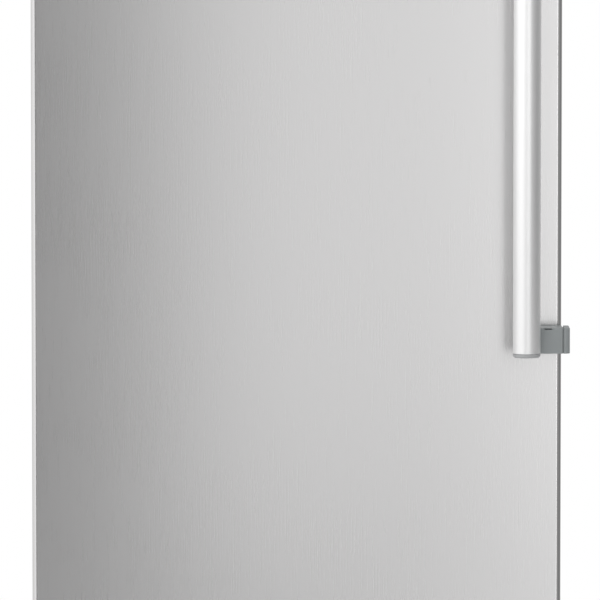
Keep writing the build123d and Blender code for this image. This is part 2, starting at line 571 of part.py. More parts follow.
with BuildPart() as handle_lever_lower:
    edge_block((GROOVE / 2, LEVER_IN), (LEVER_BACK, LEVER_FRONT), (LEVER_Z, LEVER_TOP))
    edge_block((-CHEEK, GROOVE), (CHEEK_BACK, LEVER_FRONT), (LEVER_Z, LEVER_TOP))
    fillet(edges().filter_by(Axis.Z).sort_by(Axis.Y)[:2].sort_by(Axis.X)[-1], 3.5)
    fillet(edges().group_by(Axis.Y)[0].filter_by(Axis.X).group_by(Axis.Z)[-1], 2.8)
    edge_block((-GROOVE, 0), (LEVER_FRONT - 1.5, LEVER_FRONT + 1), grow((LEVER_Z, LEVER_TOP), 1),
               Mode.SUBTRACT)
    edge_block((-GROOVE, 0), (CHEEK_BACK - 1, LEVER_FRONT), (LEVER_TOP - 1.2, LEVER_TOP + 1),
               Mode.SUBTRACT)
    edge_block((EDGE_IN, LEVER_IN - LEVER_WALL), (LEVER_BACK - 1, LEVER_FRONT - LEVER_WALL),
               grow((LEVER_Z, LEVER_TOP), -LEVER_WALL), Mode.SUBTRACT)
    edge_block((EDGE_IN, 2), (LEVER_BACK - 1, CHEEK_BACK), (LEVER_Z, LEVER_TOP), Mode.SUBTRACT)
    rod((PIVOT_AT[0], PIVOT_AT[1], mid(HUB_Z)), HUB_R, HUB_Z[1] - HUB_Z[0])
    edge_block((PIVOT[0] - 5, PIVOT[0] + 5), (PIVOT[1], LEVER_FRONT - 1), HUB_Z)
    rod((PIVOT_AT[0], PIVOT_AT[1], mid(HUB_Z)), PIVOT_R + BORE_FIT, LEVER_H, mode=Mode.SUBTRACT)
    edge_block(*LATCH_SLOT, (LEVER_TOP - LEVER_WALL - 1, LEVER_TOP + 1), Mode.SUBTRACT)
    edge_block((BAR_IN - 9, BAR_IN + 9), (LEVER_FRONT - 1, LEVER_FRONT + 6),
               grow((LEVER_Z, LEVER_TOP), -4))
    rod((BAR_AT[0], BAR_AT[1], LEVER_Z), BAR_R + 0.2, 4 * LEVER_H, mode=Mode.SUBTRACT)
    rod((BAR_AT[0], from_face(LEVER_FRONT + 4), LEVER_Z + LEVER_H / 2), SPIGOT_R, 9, "y")
save(handle_lever_lower.part, "handle_lever_lower")

with BuildPart() as handle_lever_upper:
    mirror(handle_lever_lower.part, about=HANDLE_MID)
save(handle_lever_upper.part, "handle_lever_upper")

# The base's foot plate lies on the door. A strap follows the rolled edge to a sleeve on the
# door's flank, which guides the pusher.
STRAP_T = 2.0
STRAP_GAP = 0.2
BASE_U = (DOOR_EDGE_R - 0.5, 44.0)
SLEEVE_V = (-40.0, -8.0)
SLEEVE_Z = (LEVER_Z + 1.0, LEVER_Z + 13.0)
PUSHER_Z = (mid(SLEEVE_Z) - PUSHER_H / 2, mid(SLEEVE_Z) + PUSHER_H / 2)
STRAP_Z = (EAR_LOW[0], SLEEVE_Z[1])
PUSHER_U = (-PUSHER_IN - PUSHER_W / 2, -PUSHER_IN + PUSHER_W / 2)

with BuildPart() as handle_base_lower:
    edge_block(BASE_U, (0, BASE_T), (EAR_LOW[0], EAR_HIGH[1]))
    for ear in (EAR_LOW, EAR_HIGH):
        edge_block((BASE_U[0], PIVOT[0] + EAR_R), (0, PIVOT[1]), ear)
        rod((PIVOT_AT[0], PIVOT_AT[1], mid(ear)), EAR_R, EAR_T)
    rod((PIVOT_AT[0], PIVOT_AT[1], mid((LEVER_Z, LEVER_TOP))), PIVOT_R + BORE_FIT, LEVER_H,
        mode=Mode.SUBTRACT)
    with BuildSketch(Plane.XY.offset(STRAP_Z[0])):
        edge_centre = (from_edge(DOOR_EDGE_R), from_face(-DOOR_EDGE_R))
        with Locations(edge_centre):
            Circle(DOOR_EDGE_R + STRAP_GAP + STRAP_T)
            Circle(DOOR_EDGE_R + STRAP_GAP, mode=Mode.SUBTRACT)
            with Locations((-20, 0), (0, 20)):
                Rectangle(40, 40, mode=Mode.SUBTRACT)
        with Locations((from_edge(-STRAP_GAP - STRAP_T / 2), from_face(SLEEVE_V[1] / 2 - DOOR_EDGE_R / 2))):
            Rectangle(STRAP_T, -SLEEVE_V[1] - DOOR_EDGE_R + 2)
    extrude(amount=STRAP_Z[1] - STRAP_Z[0])
    edge_block((-CHEEK + 0.5, -STRAP_GAP), SLEEVE_V, SLEEVE_Z)
    edge_block(grow(PUSHER_U, 0.25), grow(SLEEVE_V, 1), grow(PUSHER_Z, 0.25), Mode.SUBTRACT)
    screw_holes([p for p in BASE_SCREWS if p[1] < mid(HANDLE_Z)], DOOR_Y[0] + 1, -BASE_T - 2,
                SCREW_R + 0.1)
save(handle_base_lower.part, "handle_base_lower")

with BuildPart() as handle_base_upper:
    mirror(handle_base_lower.part, about=HANDLE_MID)
save(handle_base_upper.part, "handle_base_upper")

with BuildPart() as handle_pivot_pins:
    rod((PIVOT_AT[0], PIVOT_AT[1], mid((EAR_LOW[0], EAR_HIGH[1]))), PIVOT_R,
        EAR_HIGH[1] - EAR_LOW[0] - 0.4)
    chamfer(edges().filter_by(GeomType.CIRCLE), 0.5)
    mirror(about=HANDLE_MID)
save(handle_pivot_pins.part, "handle_pivot_pins")

with BuildPart() as handle_pushers:
    edge_block(PUSHER_U, (-DOOR_T - 0.5 - FOOT_T, CHEEK_BACK - FIT), PUSHER_Z)
    edge_block((PUSHER_U[0], FOOT_REACH), (-DOOR_T - 0.5 - FOOT_T, -DOOR_T - 0.5), PUSHER_Z)
    mirror(about=HANDLE_MID)
save(handle_pushers.part, "handle_pushers")

with BuildPart() as handle_bar:
    tube_z = grow(HANDLE_Z, -BAR_END)
    rod((BAR_AT[0], BAR_AT[1], mid(tube_z)), BAR_R, tube_z[1] - tube_z[0])
    rod((BAR_AT[0], BAR_AT[1], mid(tube_z)), BAR_R - BAR_WALL, HANDLE_L, mode=Mode.SUBTRACT)
    for lever_mid in (LEVER_Z + LEVER_H / 2, HANDLE_Z[1] - LEVER_H / 2):
        rod((BAR_AT[0], from_face(LEVER_FRONT + 4), lever_mid), SPIGOT_R + 0.1, 12, "y", Mode.SUBTRACT)
save(handle_bar.part, "handle_bar")

with BuildPart() as handle_end_caps:
    rod((BAR_AT[0], BAR_AT[1], tube_z[0] - CAP_SHOW / 2), BAR_R, CAP_SHOW)
    fillet(edges().group_by(Axis.Z)[0], 1.6)
    rod((BAR_AT[0], BAR_AT[1], tube_z[0] + 3), BAR_R - BAR_WALL - 0.1, 6)
    mirror(about=HANDLE_MID)
save(handle_end_caps.part, "handle_end_caps")


def add_screw(x, y, z, way):
    """Add a screw along Y: the head's underside at y, the shank running way (+1 back, -1 front)."""
    rod((x, y - way * SCREW_HEAD[1] / 2, z), SCREW_HEAD[0], SCREW_HEAD[1], "y")
    rod((x, y + way * SCREW_L / 2, z), SCREW_R, SCREW_L, "y")
    block((x - 0.6, x + 0.6), sorted((y - way * SCREW_HEAD[1], y - way * (SCREW_HEAD[1] - 1))),
          (z - 3, z + 3), Mode.SUBTRACT)
    block((x - 3, x + 3), sorted((y - way * SCREW_HEAD[1], y - way * (SCREW_HEAD[1] - 1))),
          (z - 0.6, z + 0.6), Mode.SUBTRACT)


with BuildPart() as handle_screws:
    for screw_x, screw_z in BASE_SCREWS:
        add_screw(screw_x, from_face(BASE_T), screw_z, 1)
save(handle_screws.part, "handle_screws")

with BuildPart() as cabinet_screws:
    for screw_x, screw_z in REAR_SCREWS:
        add_screw(screw_x, CAB_Y[1], screw_z, -1)
    for screw_x, screw_z in BRACKET_SCREWS:
        add_screw(screw_x, CAB_Y[0] - HINGE_PLATE, screw_z, 1)
save(cabinet_screws.part, "cabinet_screws")


# ---- Control fascia -----------------------------------------------------------------
WINDOW_AT = (XC + WINDOW_X, FASCIA_MID)
BUTTONS = dict(zip(("power_button", "temperature_button", "fast_freeze_button"), BUTTON_X))
BOARD_X = (WINDOW_AT[0] - WINDOW[0] / 2 - BOARD_MARGIN[0],
           XC + BUTTON_X[-1] + BUTTON[0] / 2 + BOARD_MARGIN[1])
BOARD_Z = (FASCIA_MID - BOARD_H / 2, FASCIA_MID + BOARD_H / 2)
POST_PLACES = [(x, z) for x in grow(BOARD_X, -POST_IN[0]) for z in grow(BOARD_Z, -POST_IN[1])]

with BuildPart() as control_fascia:
    block(CAB_X, (DOOR_Y[0], CAB_Y[0]), FASCIA_Z)
    fillet(edges().filter_by(Axis.Z).group_by(Axis.Y)[0], DOOR_EDGE_R)
    block(grow(CAB_X, -FASCIA_T), (DOOR_Y[0] + FASCIA_T, CAB_Y[0] + 1), grow(FASCIA_Z, -FASCIA_T),
          Mode.SUBTRACT)
    block((CAB_X[0] - 1, BRACKET_X[1] + 2), (CAB_Y[0] - HINGE_PLATE - 1, CAB_Y[0] + 1),
          (FASCIA_Z[0] - 1, FASCIA_Z[0] + FASCIA_T + 1), Mode.SUBTRACT)
    with BuildSketch(front_plane(DOOR_Y[0])):
        with Locations(WINDOW_AT):
            RectangleRounded(WINDOW[0] + 2 * WINDOW_RIM, WINDOW[1] + 2 * WINDOW_RIM, WINDOW_RIM)
    extrude(amount=-WINDOW_DEPTH, mode=Mode.SUBTRACT)
    with BuildSketch(front_plane(DOOR_Y[0])):
        with Locations(WINDOW_AT):
            RectangleRounded(WINDOW[0], WINDOW[1], 2)
        for button_x in BUTTON_X:
            with Locations((XC + button_x, FASCIA_MID)):
                RectangleRounded(BUTTON[0] + 2 * FIT, BUTTON[1] + 2 * FIT, 3 + FIT)
    extrude(amount=-FASCIA_T - 1, mode=Mode.SUBTRACT)
    for post_x, post_z in POST_PLACES:
        rod((post_x, (DOOR_Y[0] + 1 + BOARD_Y[0]) / 2, post_z), POST_R, BOARD_Y[0] - DOOR_Y[0] - 1, "y")
save(control_fascia.part, "control_fascia")

with BuildPart() as display_window:
    with BuildSketch(front_plane(DOOR_Y[0] + WINDOW_DEPTH)):
        with Locations(WINDOW_AT):
            pane_rim = WINDOW_RIM - 0.1
            RectangleRounded(WINDOW[0] + 2 * pane_rim, WINDOW[1] + 2 * pane_rim, pane_rim)
    extrude(amount=WINDOW_DEPTH)
save(display_window.part, "display_window")

STEM_R = 2.5
SWITCH_FRONT = BOARD_Y[0] - SWITCH[1]
with BuildPart() as control_board:
    block(BOARD_X, BOARD_Y, BOARD_Z)
    window_x = (WINDOW_AT[0] - WINDOW[0] / 2, WINDOW_AT[0] + WINDOW[0] / 2)
    window_z = (FASCIA_MID - WINDOW[1] / 2, FASCIA_MID + WINDOW[1] / 2)
    block(grow(window_x, -4), (BOARD_Y[0] - 6, BOARD_Y[0]), grow(window_z, -1))
    for button_x in BUTTON_X:
        x = XC + button_x
        block(grow((x, x), SWITCH[0] / 2), (SWITCH_FRONT, BOARD_Y[0]),
              grow((FASCIA_MID, FASCIA_MID), SWITCH[0] / 2))
    block((BOARD_X[0] + 6, BOARD_X[0] + 40), (BOARD_Y[1], BOARD_Y[1] + 10),
          (FASCIA_MID - 14, FASCIA_MID + 14))
save(control_board.part, "control_board")


def build_button(button_x):
    """Return a button: its face in the fascia's hole, a flange behind the wall and a stem."""
    x = XC + button_x
    wall_back = DOOR_Y[0] + FASCIA_T
    with BuildPart() as button:
        with BuildSketch(front_plane(wall_back + FIT)):
            with Locations((x, FASCIA_MID)):
                RectangleRounded(BUTTON[0], BUTTON[1], 3)
        extrude(amount=FASCIA_T + FIT + BUTTON_PROUD)
        fillet(faces().sort_by(Axis.Y)[0].edges(), 0.8)
        with BuildSketch(front_plane(wall_back + FIT)):
            with Locations((x, FASCIA_MID)):
                RectangleRounded(BUTTON[0] + 4, BUTTON[1] + 4, 4)
        extrude(amount=-1.5)
        stem_y = (wall_back + FIT, SWITCH_FRONT - BUTTON_TRAVEL - FIT)
        rod((x, mid(stem_y), FASCIA_MID), STEM_R, stem_y[1] - stem_y[0], "y")
    return button.part


for button_name, place_x in BUTTONS.items():
    save(build_button(place_x), button_name)


# ---- Shelves, drawers and air duct ---------------------------------------------------
with BuildPart() as glass_shelves:
    for shelf in SHELF_Z:
        block(grow(CAV_X, -1.5), SHELF_Y, (shelf, shelf + SHELF_T))
save(glass_shelves.part, "glass_shelves")

with BuildPart() as evaporator_cover:
    cover_z = (HUMP_Z + 0.0, CAV_Z[1] - 1.0)
    block(grow(CAV_X, -1.0), (COVER_Y[0], CAV_Y[1]), cover_z)
    block(grow(CAV_X, -1.0 - COVER_T), (COVER_Y[1], CAV_Y[1] + 1), grow(cover_z, -COVER_T), Mode.SUBTRACT)
    with BuildSketch(front_plane(COVER_Y[0])):
        for shelf in SHELF_Z:
            with Locations((XC, shelf + SHELF_STEP - 34)):
                with GridLocations(64, 12, 5, 2):
                    SlotOverall(46, 6)
        with Locations((XC, cover_z[0] + 30)):
            with GridLocations(64, 12, 6, 2):
                SlotOverall(46, 6)
    extrude(amount=-COVER_T - 1, mode=Mode.SUBTRACT)
save(evaporator_cover.part, "evaporator_cover")


def build_drawer(index):
    """Return drawer number index, counted from the bottom: an open box with a turned-down lip."""
    if index == 0:
        floor, ceiling, back = CAV_Z[0], SHELF_Z[0] - LEDGE[1], HUMP_Y - 6
    else:
        floor = SHELF_Z[index - 1] + SHELF_T
        ceiling = SHELF_Z[index - 1] + SHELF_STEP - LEDGE[1]
        back = COVER_Y[0] - 6
    x = grow(CAV_X, -DRAWER_SIDE)
    front = CAB_Y[0] + DRAWER_SETBACK + LIP[0]
    z = (floor + FIT, ceiling - DRAWER_HEAD)
    with BuildPart() as drawer:
        block(x, (front, back), z)
        fillet(edges().filter_by(Axis.Z), 8)
        block(grow(x, -DRAWER_WALL), (front + DRAWER_FRONT, back - DRAWER_WALL),
              (z[0] + DRAWER_WALL, z[1] + 1), Mode.SUBTRACT)
        lip_x = grow(x, -60)
        block(lip_x, (front - LIP[0], front + 1), (z[1] - LIP[1], z[1]))
        block(lip_x, (front - LIP[0], front - LIP[0] + LIP[1]), (z[1] - LIP[2], z[1]))
    return drawer.part


for number in range(DRAWER_COUNT):
    save(build_drawer(number), f"drawer_{number + 1}")

LAMP_X = (XC - 45.0, XC + 45.0)
LAMP_Y = (CAB_Y[0] + 60.0, CAB_Y[0] + 90.0)
LAMP_H = 7.0
with BuildPart() as led_lamp:
    block(LAMP_X, LAMP_Y, (CAV_Z[1] - LAMP_H, CAV_Z[1]))
    fillet(edges().group_by(Axis.Z)[0], 2.5)
save(led_lamp.part, "led_lamp")

# ---- Evaporator, heater and fan -------------------------------------------------------
FAN_Z = CAV_Z[1] - FAN_DROP
EVAP_X = grow(CAV_X, -EVAP_SIDE)
EVAP_Y = (CAV_Y[1] - EVAP_BACK - EVAP_DEPTH, CAV_Y[1] - EVAP_BACK)
EVAP_Z = (FAN_Z - EVAP_DROP - EVAP_H, FAN_Z - EVAP_DROP)
EVAP_W = EVAP_X[1] - EVAP_X[0]
TUBE_R = 4.0
with BuildPart() as evaporator:
    fin_step = (EVAP_W - FIN_T) / (FIN_COUNT - 1)
    for i in range(FIN_COUNT):
        fin_x = EVAP_X[0] + i * fin_step
        block((fin_x, fin_x + FIN_T), EVAP_Y, EVAP_Z)
    row_step = EVAP_H / EVAP_ROWS
    for row in range(EVAP_ROWS):
        row_z = EVAP_Z[0] + (row + 0.5) * row_step
        rod((XC, mid(EVAP_Y), row_z), TUBE_R, EVAP_W + 2 * EVAP_STUB, "x")
        if row < EVAP_ROWS - 1:
            way = 1 if row % 2 == 0 else -1
            bend_x = XC + way * (EVAP_W / 2 + EVAP_STUB)
            with BuildSketch(Plane.YZ.offset(bend_x)):
                with Locations((mid(EVAP_Y), row_z)):
                    Circle(TUBE_R)
            revolve(axis=Axis((bend_x, 0, row_z + row_step / 2), (0, way, 0)),
                    revolution_arc=-180)
    for side_x in (EVAP_X[0], EVAP_X[1] - FIN_T):
        block((side_x, side_x + FIN_T), (mid(EVAP_Y), CAV_Y[1]), grow(EVAP_Z, -20))
save(evaporator.part, "evaporator")

HEATER_Z = EVAP_Z[0] - 8.0               # heater's level run
HEATER_Y = mid(EVAP_Y) - 12.0
HEATER_LEG = 22.0                        # heater's upright ends
HEATER_R = 3.2
HEATER_X = grow(EVAP_X, -10)
with BuildPart() as defrost_heater:
    with BuildLine() as heater_path:
        FilletPolyline(
            (HEATER_X[0], HEATER_Y, HEATER_Z - HEATER_LEG),
            (HEATER_X[0], HEATER_Y, HEATER_Z),
            (HEATER_X[1], HEATER_Y, HEATER_Z),
            (HEATER_X[1], HEATER_Y, HEATER_Z - HEATER_LEG),
            radius=12)
    with BuildSketch(Plane(origin=heater_path.line @ 0, z_dir=heater_path.line % 0)):
        Circle(HEATER_R)
    sweep()
    for clip_x in (HEATER_X[0] + 50, XC, HEATER_X[1] - 50):
        block((clip_x - 3, clip_x + 3), (HEATER_Y - 2, CAV_Y[1]), grow((HEATER_Z, HEATER_Z), 1))
save(defrost_heater.part, "defrost_heater")

MOTOR_R = 24.0
MOTOR_Y = (CAV_Y[1] - 26.0, CAV_Y[1])
SHAFT_R = 2.0
ROTOR_Y = (MOTOR_Y[0] - 20.0, MOTOR_Y[0] - 2.0)
HUB_IN = 10.0                            # blades start inside the rotor's hub
with BuildPart() as fan_motor:
    rod((XC, mid(MOTOR_Y), FAN_Z), MOTOR_R, MOTOR_Y[1] - MOTOR_Y[0], "y")
    with Locations((XC, MOTOR_Y[1] - 1.5, FAN_Z)):
        for turn in (0, 60, 120):
            Box(140, 3, 10, rotation=(0, turn, 0))
    rod((XC, mid((ROTOR_Y[0] + 2, MOTOR_Y[0])), FAN_Z), SHAFT_R, MOTOR_Y[0] - ROTOR_Y[0] - 2, "y")
save(fan_motor.part, "fan_motor")

with BuildPart() as fan_rotor:
    rod((XC, mid(ROTOR_Y), FAN_Z), 15, ROTOR_Y[1] - ROTOR_Y[0], "y")
    with Locations(Plane(origin=(XC, mid(ROTOR_Y), FAN_Z), z_dir=(0, 1, 0))):
        with PolarLocations((FAN_R + HUB_IN) / 2, FAN_BLADES):
            Box(FAN_R - HUB_IN, 24, 1.6, rotation=(35, 0, 0))
    rod((XC, mid(ROTOR_Y), FAN_Z), SHAFT_R + BORE_FIT, 60, "y", Mode.SUBTRACT)
save(fan_rotor.part, "fan_rotor")

# ---- Condenser -----------------------------------------------------------------------
COIL_Y = CAB_Y[1] + COIL_BACK
DISCHARGE_X = NICHE_X[1] - DISCHARGE_IN
COIL_W = 2 * (DISCHARGE_X - COIL_CLEAR - COIL_PITCH / 2 - XC)   # level run, between the bends
WIRE_PITCH = (COIL_W - 2 * WIRE_IN) / (WIRE_COUNT - 1)
COIL_TOP = COIL_FOOT + (COIL_RUNS - 1) * COIL_PITCH
DRIER_AT = (CAPILLARY_AT[0], COIL_Y)
DRIER_Z = (295.0, 395.0)
DRIER_R = 9.0
DRIER_TAPER = 12.0
with BuildPart() as condenser:
    for run in range(COIL_RUNS):
        run_z = COIL_FOOT + run * COIL_PITCH
        rod((XC, COIL_Y, run_z), COIL_R, COIL_W, "x")
        if run < COIL_RUNS - 1:
            way = 1 if run % 2 == 0 else -1
            bend_x = XC + way * COIL_W / 2
            with BuildSketch(Plane.YZ.offset(bend_x)):
                with Locations((COIL_Y, run_z)):
                    Circle(COIL_R)
            revolve(axis=Axis((bend_x, 0, run_z + COIL_PITCH / 2), (0, way, 0)), revolution_arc=-180)
    for wire in range(WIRE_COUNT):
        wire_x = XC + (wire - (WIRE_COUNT - 1) / 2) * WIRE_PITCH
        for face in (-1, 1):
            wire_y = COIL_Y + face * (COIL_R + WIRE_T / 2 - 0.6)
            block((wire_x - WIRE_T / 2, wire_x + WIRE_T / 2), (wire_y - WIRE_T / 2, wire_y + WIRE_T / 2),
                  (COIL_FOOT - 8, COIL_TOP + 8))
    tail_start = (XC - COIL_W / 2, COIL_Y, COIL_FOOT)
    with BuildLine() as tail:
        FilletPolyline(tail_start, (DRIER_AT[0], COIL_Y, COIL_FOOT), (DRIER_AT[0], COIL_Y, DRIER_Z[1]),
                       radius=20)
    with BuildSketch(Plane(origin=tail.line @ 0, z_dir=tail.line % 0)):
        Circle(COIL_R)
    sweep(path=tail.line)
save(condenser.part, "condenser")

with BuildPart() as condenser_brackets:
    for side in (-1, 1):
        for run in (1, COIL_RUNS - 2):
            bracket_z = COIL_FOOT + run * COIL_PITCH
            bracket_x = XC + side * (COIL_W / 2 - SPACER_IN)
            block(grow((bracket_x, bracket_x), SPACER[0] / 2), (CAB_Y[1], Y_WALL),
                  grow((bracket_z, bracket_z), SPACER[1] / 2))
            rod((bracket_x, COIL_Y, bracket_z), COIL_R + 0.2, SPACER[0] + 2, "x", Mode.SUBTRACT)
save(condenser_brackets.part, "condenser_brackets")

# ---- Compressor niche ----------------------------------------------------------------
BASE_TOP = FLOOR_GAP + PLATE
COMP_PLATE_Z = (BASE_TOP + MOUNT_H, BASE_TOP + MOUNT_H + COMP_PLATE_T)
COMP_Z = (COMP_PLATE_Z[1], COMP_PLATE_Z[1] + COMP_SIZE[2])
MOUNT_PLACES = [(COMP_AT[0] + x * MOUNT_SPAN[0] / 2, COMP_AT[1] + y * MOUNT_SPAN[1] / 2)
                for x in (-1, 1) for y in (-1, 1)]
OVAL = (COMP_SIZE[0] / 2 - SHELL_LIP, COMP_SIZE[1] / 2 - SHELL_LIP)
with BuildPart() as compressor:
    with BuildSketch(Plane.XY.offset(COMP_Z[0])):
        with Locations(COMP_AT):
            Ellipse(*OVAL)
    extrude(amount=COMP_SIZE[2])
    fillet(edges().group_by(Axis.Z)[-1], 34)
    with BuildSketch(Plane.XY.offset(COMP_Z[0] + 78)):
        with Locations(COMP_AT):
            Ellipse(COMP_SIZE[0] / 2, COMP_SIZE[1] / 2)
    extrude(amount=6)
    with BuildSketch(Plane.XY.offset(COMP_PLATE_Z[0])):
        with Locations(COMP_AT):
            RectangleRounded(MOUNT_SPAN[0] + 2 * MOUNT_R, MOUNT_SPAN[1] + 2 * MOUNT_R, MOUNT_R + 1)
        with Locations(*MOUNT_PLACES):
            Circle(MOUNT_NECK + 0.2, mode=Mode.SUBTRACT)
    extrude(amount=COMP_PLATE_T)
save(compressor.part, "compressor")

with BuildPart() as compressor_mounts:
    with Locations(*[(x, y, BASE_TOP) for x, y in MOUNT_PLACES]):
        Cylinder(MOUNT_R, MOUNT_H, align=(Align.CENTER, Align.CENTER, Align.MIN))
        Cylinder(MOUNT_NECK, MOUNT_H + COMP_PLATE_T + 2, align=(Align.CENTER, Align.CENTER, Align.MIN))
    with Locations(*[(x, y, COMP_PLATE_Z[1]) for x, y in MOUNT_PLACES]):
        Cylinder(MOUNT_R - 2, 3.5, align=(Align.CENTER, Align.CENTER, Align.MIN))
save(compressor_mounts.part, "compressor_mounts")

RELAY_X = (COMP_AT[0] - COMP_SIZE[0] / 2 - 40, COMP_AT[0] - COMP_SIZE[0] / 2 + 4)
with BuildPart() as start_relay:
    block(RELAY_X, (COMP_AT[1] - 22, COMP_AT[1] + 22), (COMP_Z[0] + 20, COMP_Z[0] + 72))
    fillet(edges().filter_by(Axis.Z), 4)
    with BuildSketch(Plane.XY.offset(COMP_Z[0])):
        with Locations(COMP_AT):
            Ellipse(OVAL[0] + 0.2, OVAL[1] + 0.2)
    extrude(amount=100, mode=Mode.SUBTRACT)
save(start_relay.part, "start_relay")

TRAY_Z = (COMP_Z[1] + FIT, COMP_Z[1] + FIT + TRAY_SIZE[2])
TRAY_CORNER = 14.0
with BuildPart() as evaporation_tray:
    with BuildSketch(Plane.XY.offset(TRAY_Z[0])):
        with Locations(COMP_AT):
            RectangleRounded(TRAY_SIZE[0], TRAY_SIZE[1], TRAY_CORNER)
    extrude(amount=TRAY_SIZE[2], taper=-6)
    with BuildSketch(Plane.XY.offset(TRAY_Z[0] + TRAY_WALL)):
        with Locations(COMP_AT):
            RectangleRounded(TRAY_SIZE[0] - 2 * TRAY_WALL, TRAY_SIZE[1] - 2 * TRAY_WALL,
                             TRAY_CORNER - TRAY_WALL)
    extrude(amount=TRAY_SIZE[2], taper=-6, mode=Mode.SUBTRACT)
save(evaporation_tray.part, "evaporation_tray")

# The drier hangs on the condenser's tail, and its capillary turns into the niche's ceiling.
with BuildPart() as filter_drier:
    rod((*DRIER_AT, mid(DRIER_Z)), DRIER_R, DRIER_Z[1] - DRIER_Z[0] - 2 * DRIER_TAPER)
    with Locations((*DRIER_AT, DRIER_Z[1] - DRIER_TAPER)):
        Cone(DRIER_R, PIPE_R, DRIER_TAPER, align=(Align.CENTER, Align.CENTER, Align.MIN))
    with Locations((*DRIER_AT, DRIER_Z[0])):
        Cone(PIPE_R, DRIER_R, DRIER_TAPER, align=(Align.CENTER, Align.CENTER, Align.MIN))
    with BuildLine() as capillary:
        FilletPolyline((*DRIER_AT, DRIER_Z[0] + 1), (*DRIER_AT, NICHE_TOP - 25),
                       (*CAPILLARY_AT, NICHE_TOP - 25), (*CAPILLARY_AT, NICHE_TOP + PIPE_DEPTH - 2),
                       radius=10)
    with BuildSketch(Plane(origin=capillary.line @ 0, z_dir=capillary.line % 0)):
        Circle(CAPILLARY_R)
    sweep(path=capillary.line)
save(filter_drier.part, "filter_drier")


def build_pipe(points, bend, radius):
    """Return a round pipe that follows the points, with every corner bent to one radius."""
    with BuildPart() as pipe:
        with BuildLine() as route:
            FilletPolyline(*points, radius=bend)
        with BuildSketch(Plane(origin=route.line @ 0, z_dir=route.line % 0)):
            Circle(radius)
        sweep()
    return pipe.part


COMP_SIDE_Z = COMP_Z[0] + 60.0
DISCHARGE_POINTS = (
    (COMP_AT[0] + OVAL[0] + 0.2, COMP_AT[1], COMP_SIDE_Z),
    (DISCHARGE_X, COMP_AT[1], COMP_SIDE_Z),
    (DISCHARGE_X, COIL_Y, COMP_SIDE_Z + 40),
    (DISCHARGE_X, COIL_Y, COIL_TOP),
    (XC + COIL_W / 2, COIL_Y, COIL_TOP),
)
save(build_pipe(DISCHARGE_POINTS, 12, COIL_R), "discharge_pipe")

# The suction pipe leaves the compressor's front. SUCTION_OUT is how far the oval comes out
# beside the pipe, on the side of the compressor's middle.
SUCTION_OUT = OVAL[1] * sqrt(1 - ((SUCTION_LEFT - PIPE_R) / OVAL[0]) ** 2)
SUCTION_Z = COMP_Z[0] + 100.0
SUCTION_POINTS = (
    (SUCTION_AT[0], COMP_AT[1] - SUCTION_OUT - FIT, SUCTION_Z),
    (*SUCTION_AT, SUCTION_Z),
    (*SUCTION_AT, NICHE_TOP + PIPE_DEPTH - 2),
)
save(build_pipe(SUCTION_POINTS, 12, PIPE_R), "suction_pipe")

INLET_X = (NICHE_X[0] + 12.0, NICHE_X[0] + 62.0)
with BuildPart() as mains_inlet:
    block(INLET_X, (CAB_Y[1] - 34, CAB_Y[1] - 2), (BASE_TOP, BASE_TOP + 34))
    fillet(edges().filter_by(Axis.Y), 2)
    block(grow(INLET_X, -8), (CAB_Y[1] - 20, CAB_Y[1]), (BASE_TOP + 8, BASE_TOP + 28), Mode.SUBTRACT)
    for pin_x in (-8.0, 0.0, 8.0):
        rod((mid(INLET_X) + pin_x, CAB_Y[1] - 14, BASE_TOP + 18), 1.8, 14, "y")
save(mains_inlet.part, "mains_inlet")
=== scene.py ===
"""Looks of the upright freezer: finishes, modelled covers and details, studio and camera.

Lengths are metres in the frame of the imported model: +Z up, the door faces -Y, the handle is
on +X and the floor is z = 0. A range is written as a pair (low, high) along one axis.
"""
import logging
import math
from contextlib import contextmanager
from dataclasses import dataclass
from enum import Enum
from typing import Any, Callable, Iterator, Sequence

import bmesh
import bpy
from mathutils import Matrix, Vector


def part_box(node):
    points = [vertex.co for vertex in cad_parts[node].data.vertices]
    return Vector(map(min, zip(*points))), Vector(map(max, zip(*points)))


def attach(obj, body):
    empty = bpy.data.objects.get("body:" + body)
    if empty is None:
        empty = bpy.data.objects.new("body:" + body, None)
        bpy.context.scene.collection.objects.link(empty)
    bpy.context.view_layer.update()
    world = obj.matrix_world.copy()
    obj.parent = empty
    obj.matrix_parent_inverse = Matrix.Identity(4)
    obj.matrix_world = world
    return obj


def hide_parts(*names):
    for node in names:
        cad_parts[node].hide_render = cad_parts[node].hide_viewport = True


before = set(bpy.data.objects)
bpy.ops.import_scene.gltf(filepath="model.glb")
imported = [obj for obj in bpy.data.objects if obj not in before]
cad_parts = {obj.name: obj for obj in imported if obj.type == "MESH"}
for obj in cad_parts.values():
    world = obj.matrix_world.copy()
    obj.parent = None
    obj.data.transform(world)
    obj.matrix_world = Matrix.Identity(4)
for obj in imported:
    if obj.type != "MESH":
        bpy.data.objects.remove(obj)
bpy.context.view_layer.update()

logging.basicConfig(level=logging.INFO, format="%(name)s: %(message)s")
log = logging.getLogger("freezer")

Object = bpy.types.Object
Material = bpy.types.Material
Point = tuple[float, float, float]
Range = tuple[float, float]
Colour = tuple[float, float, float]
Test = Callable[[Vector, Vector], bool]

MM = 0.001
TINY = 0.02 * MM
# How far a tool reaches past the face that it cuts or joins.
PAST = 1 * MM
# Shares of a unit direction that count as lying along an axis, and across it.
MOSTLY = 0.9
BARELY = 0.1
# Faces around a small hole, and around a bent tube.
HOLE_SIDES = 32
TUBE_SIDES = 12
UP = Vector((0, 0, 1))
BUTTONS = ("power_button", "temperature_button", "fast_freeze_button")


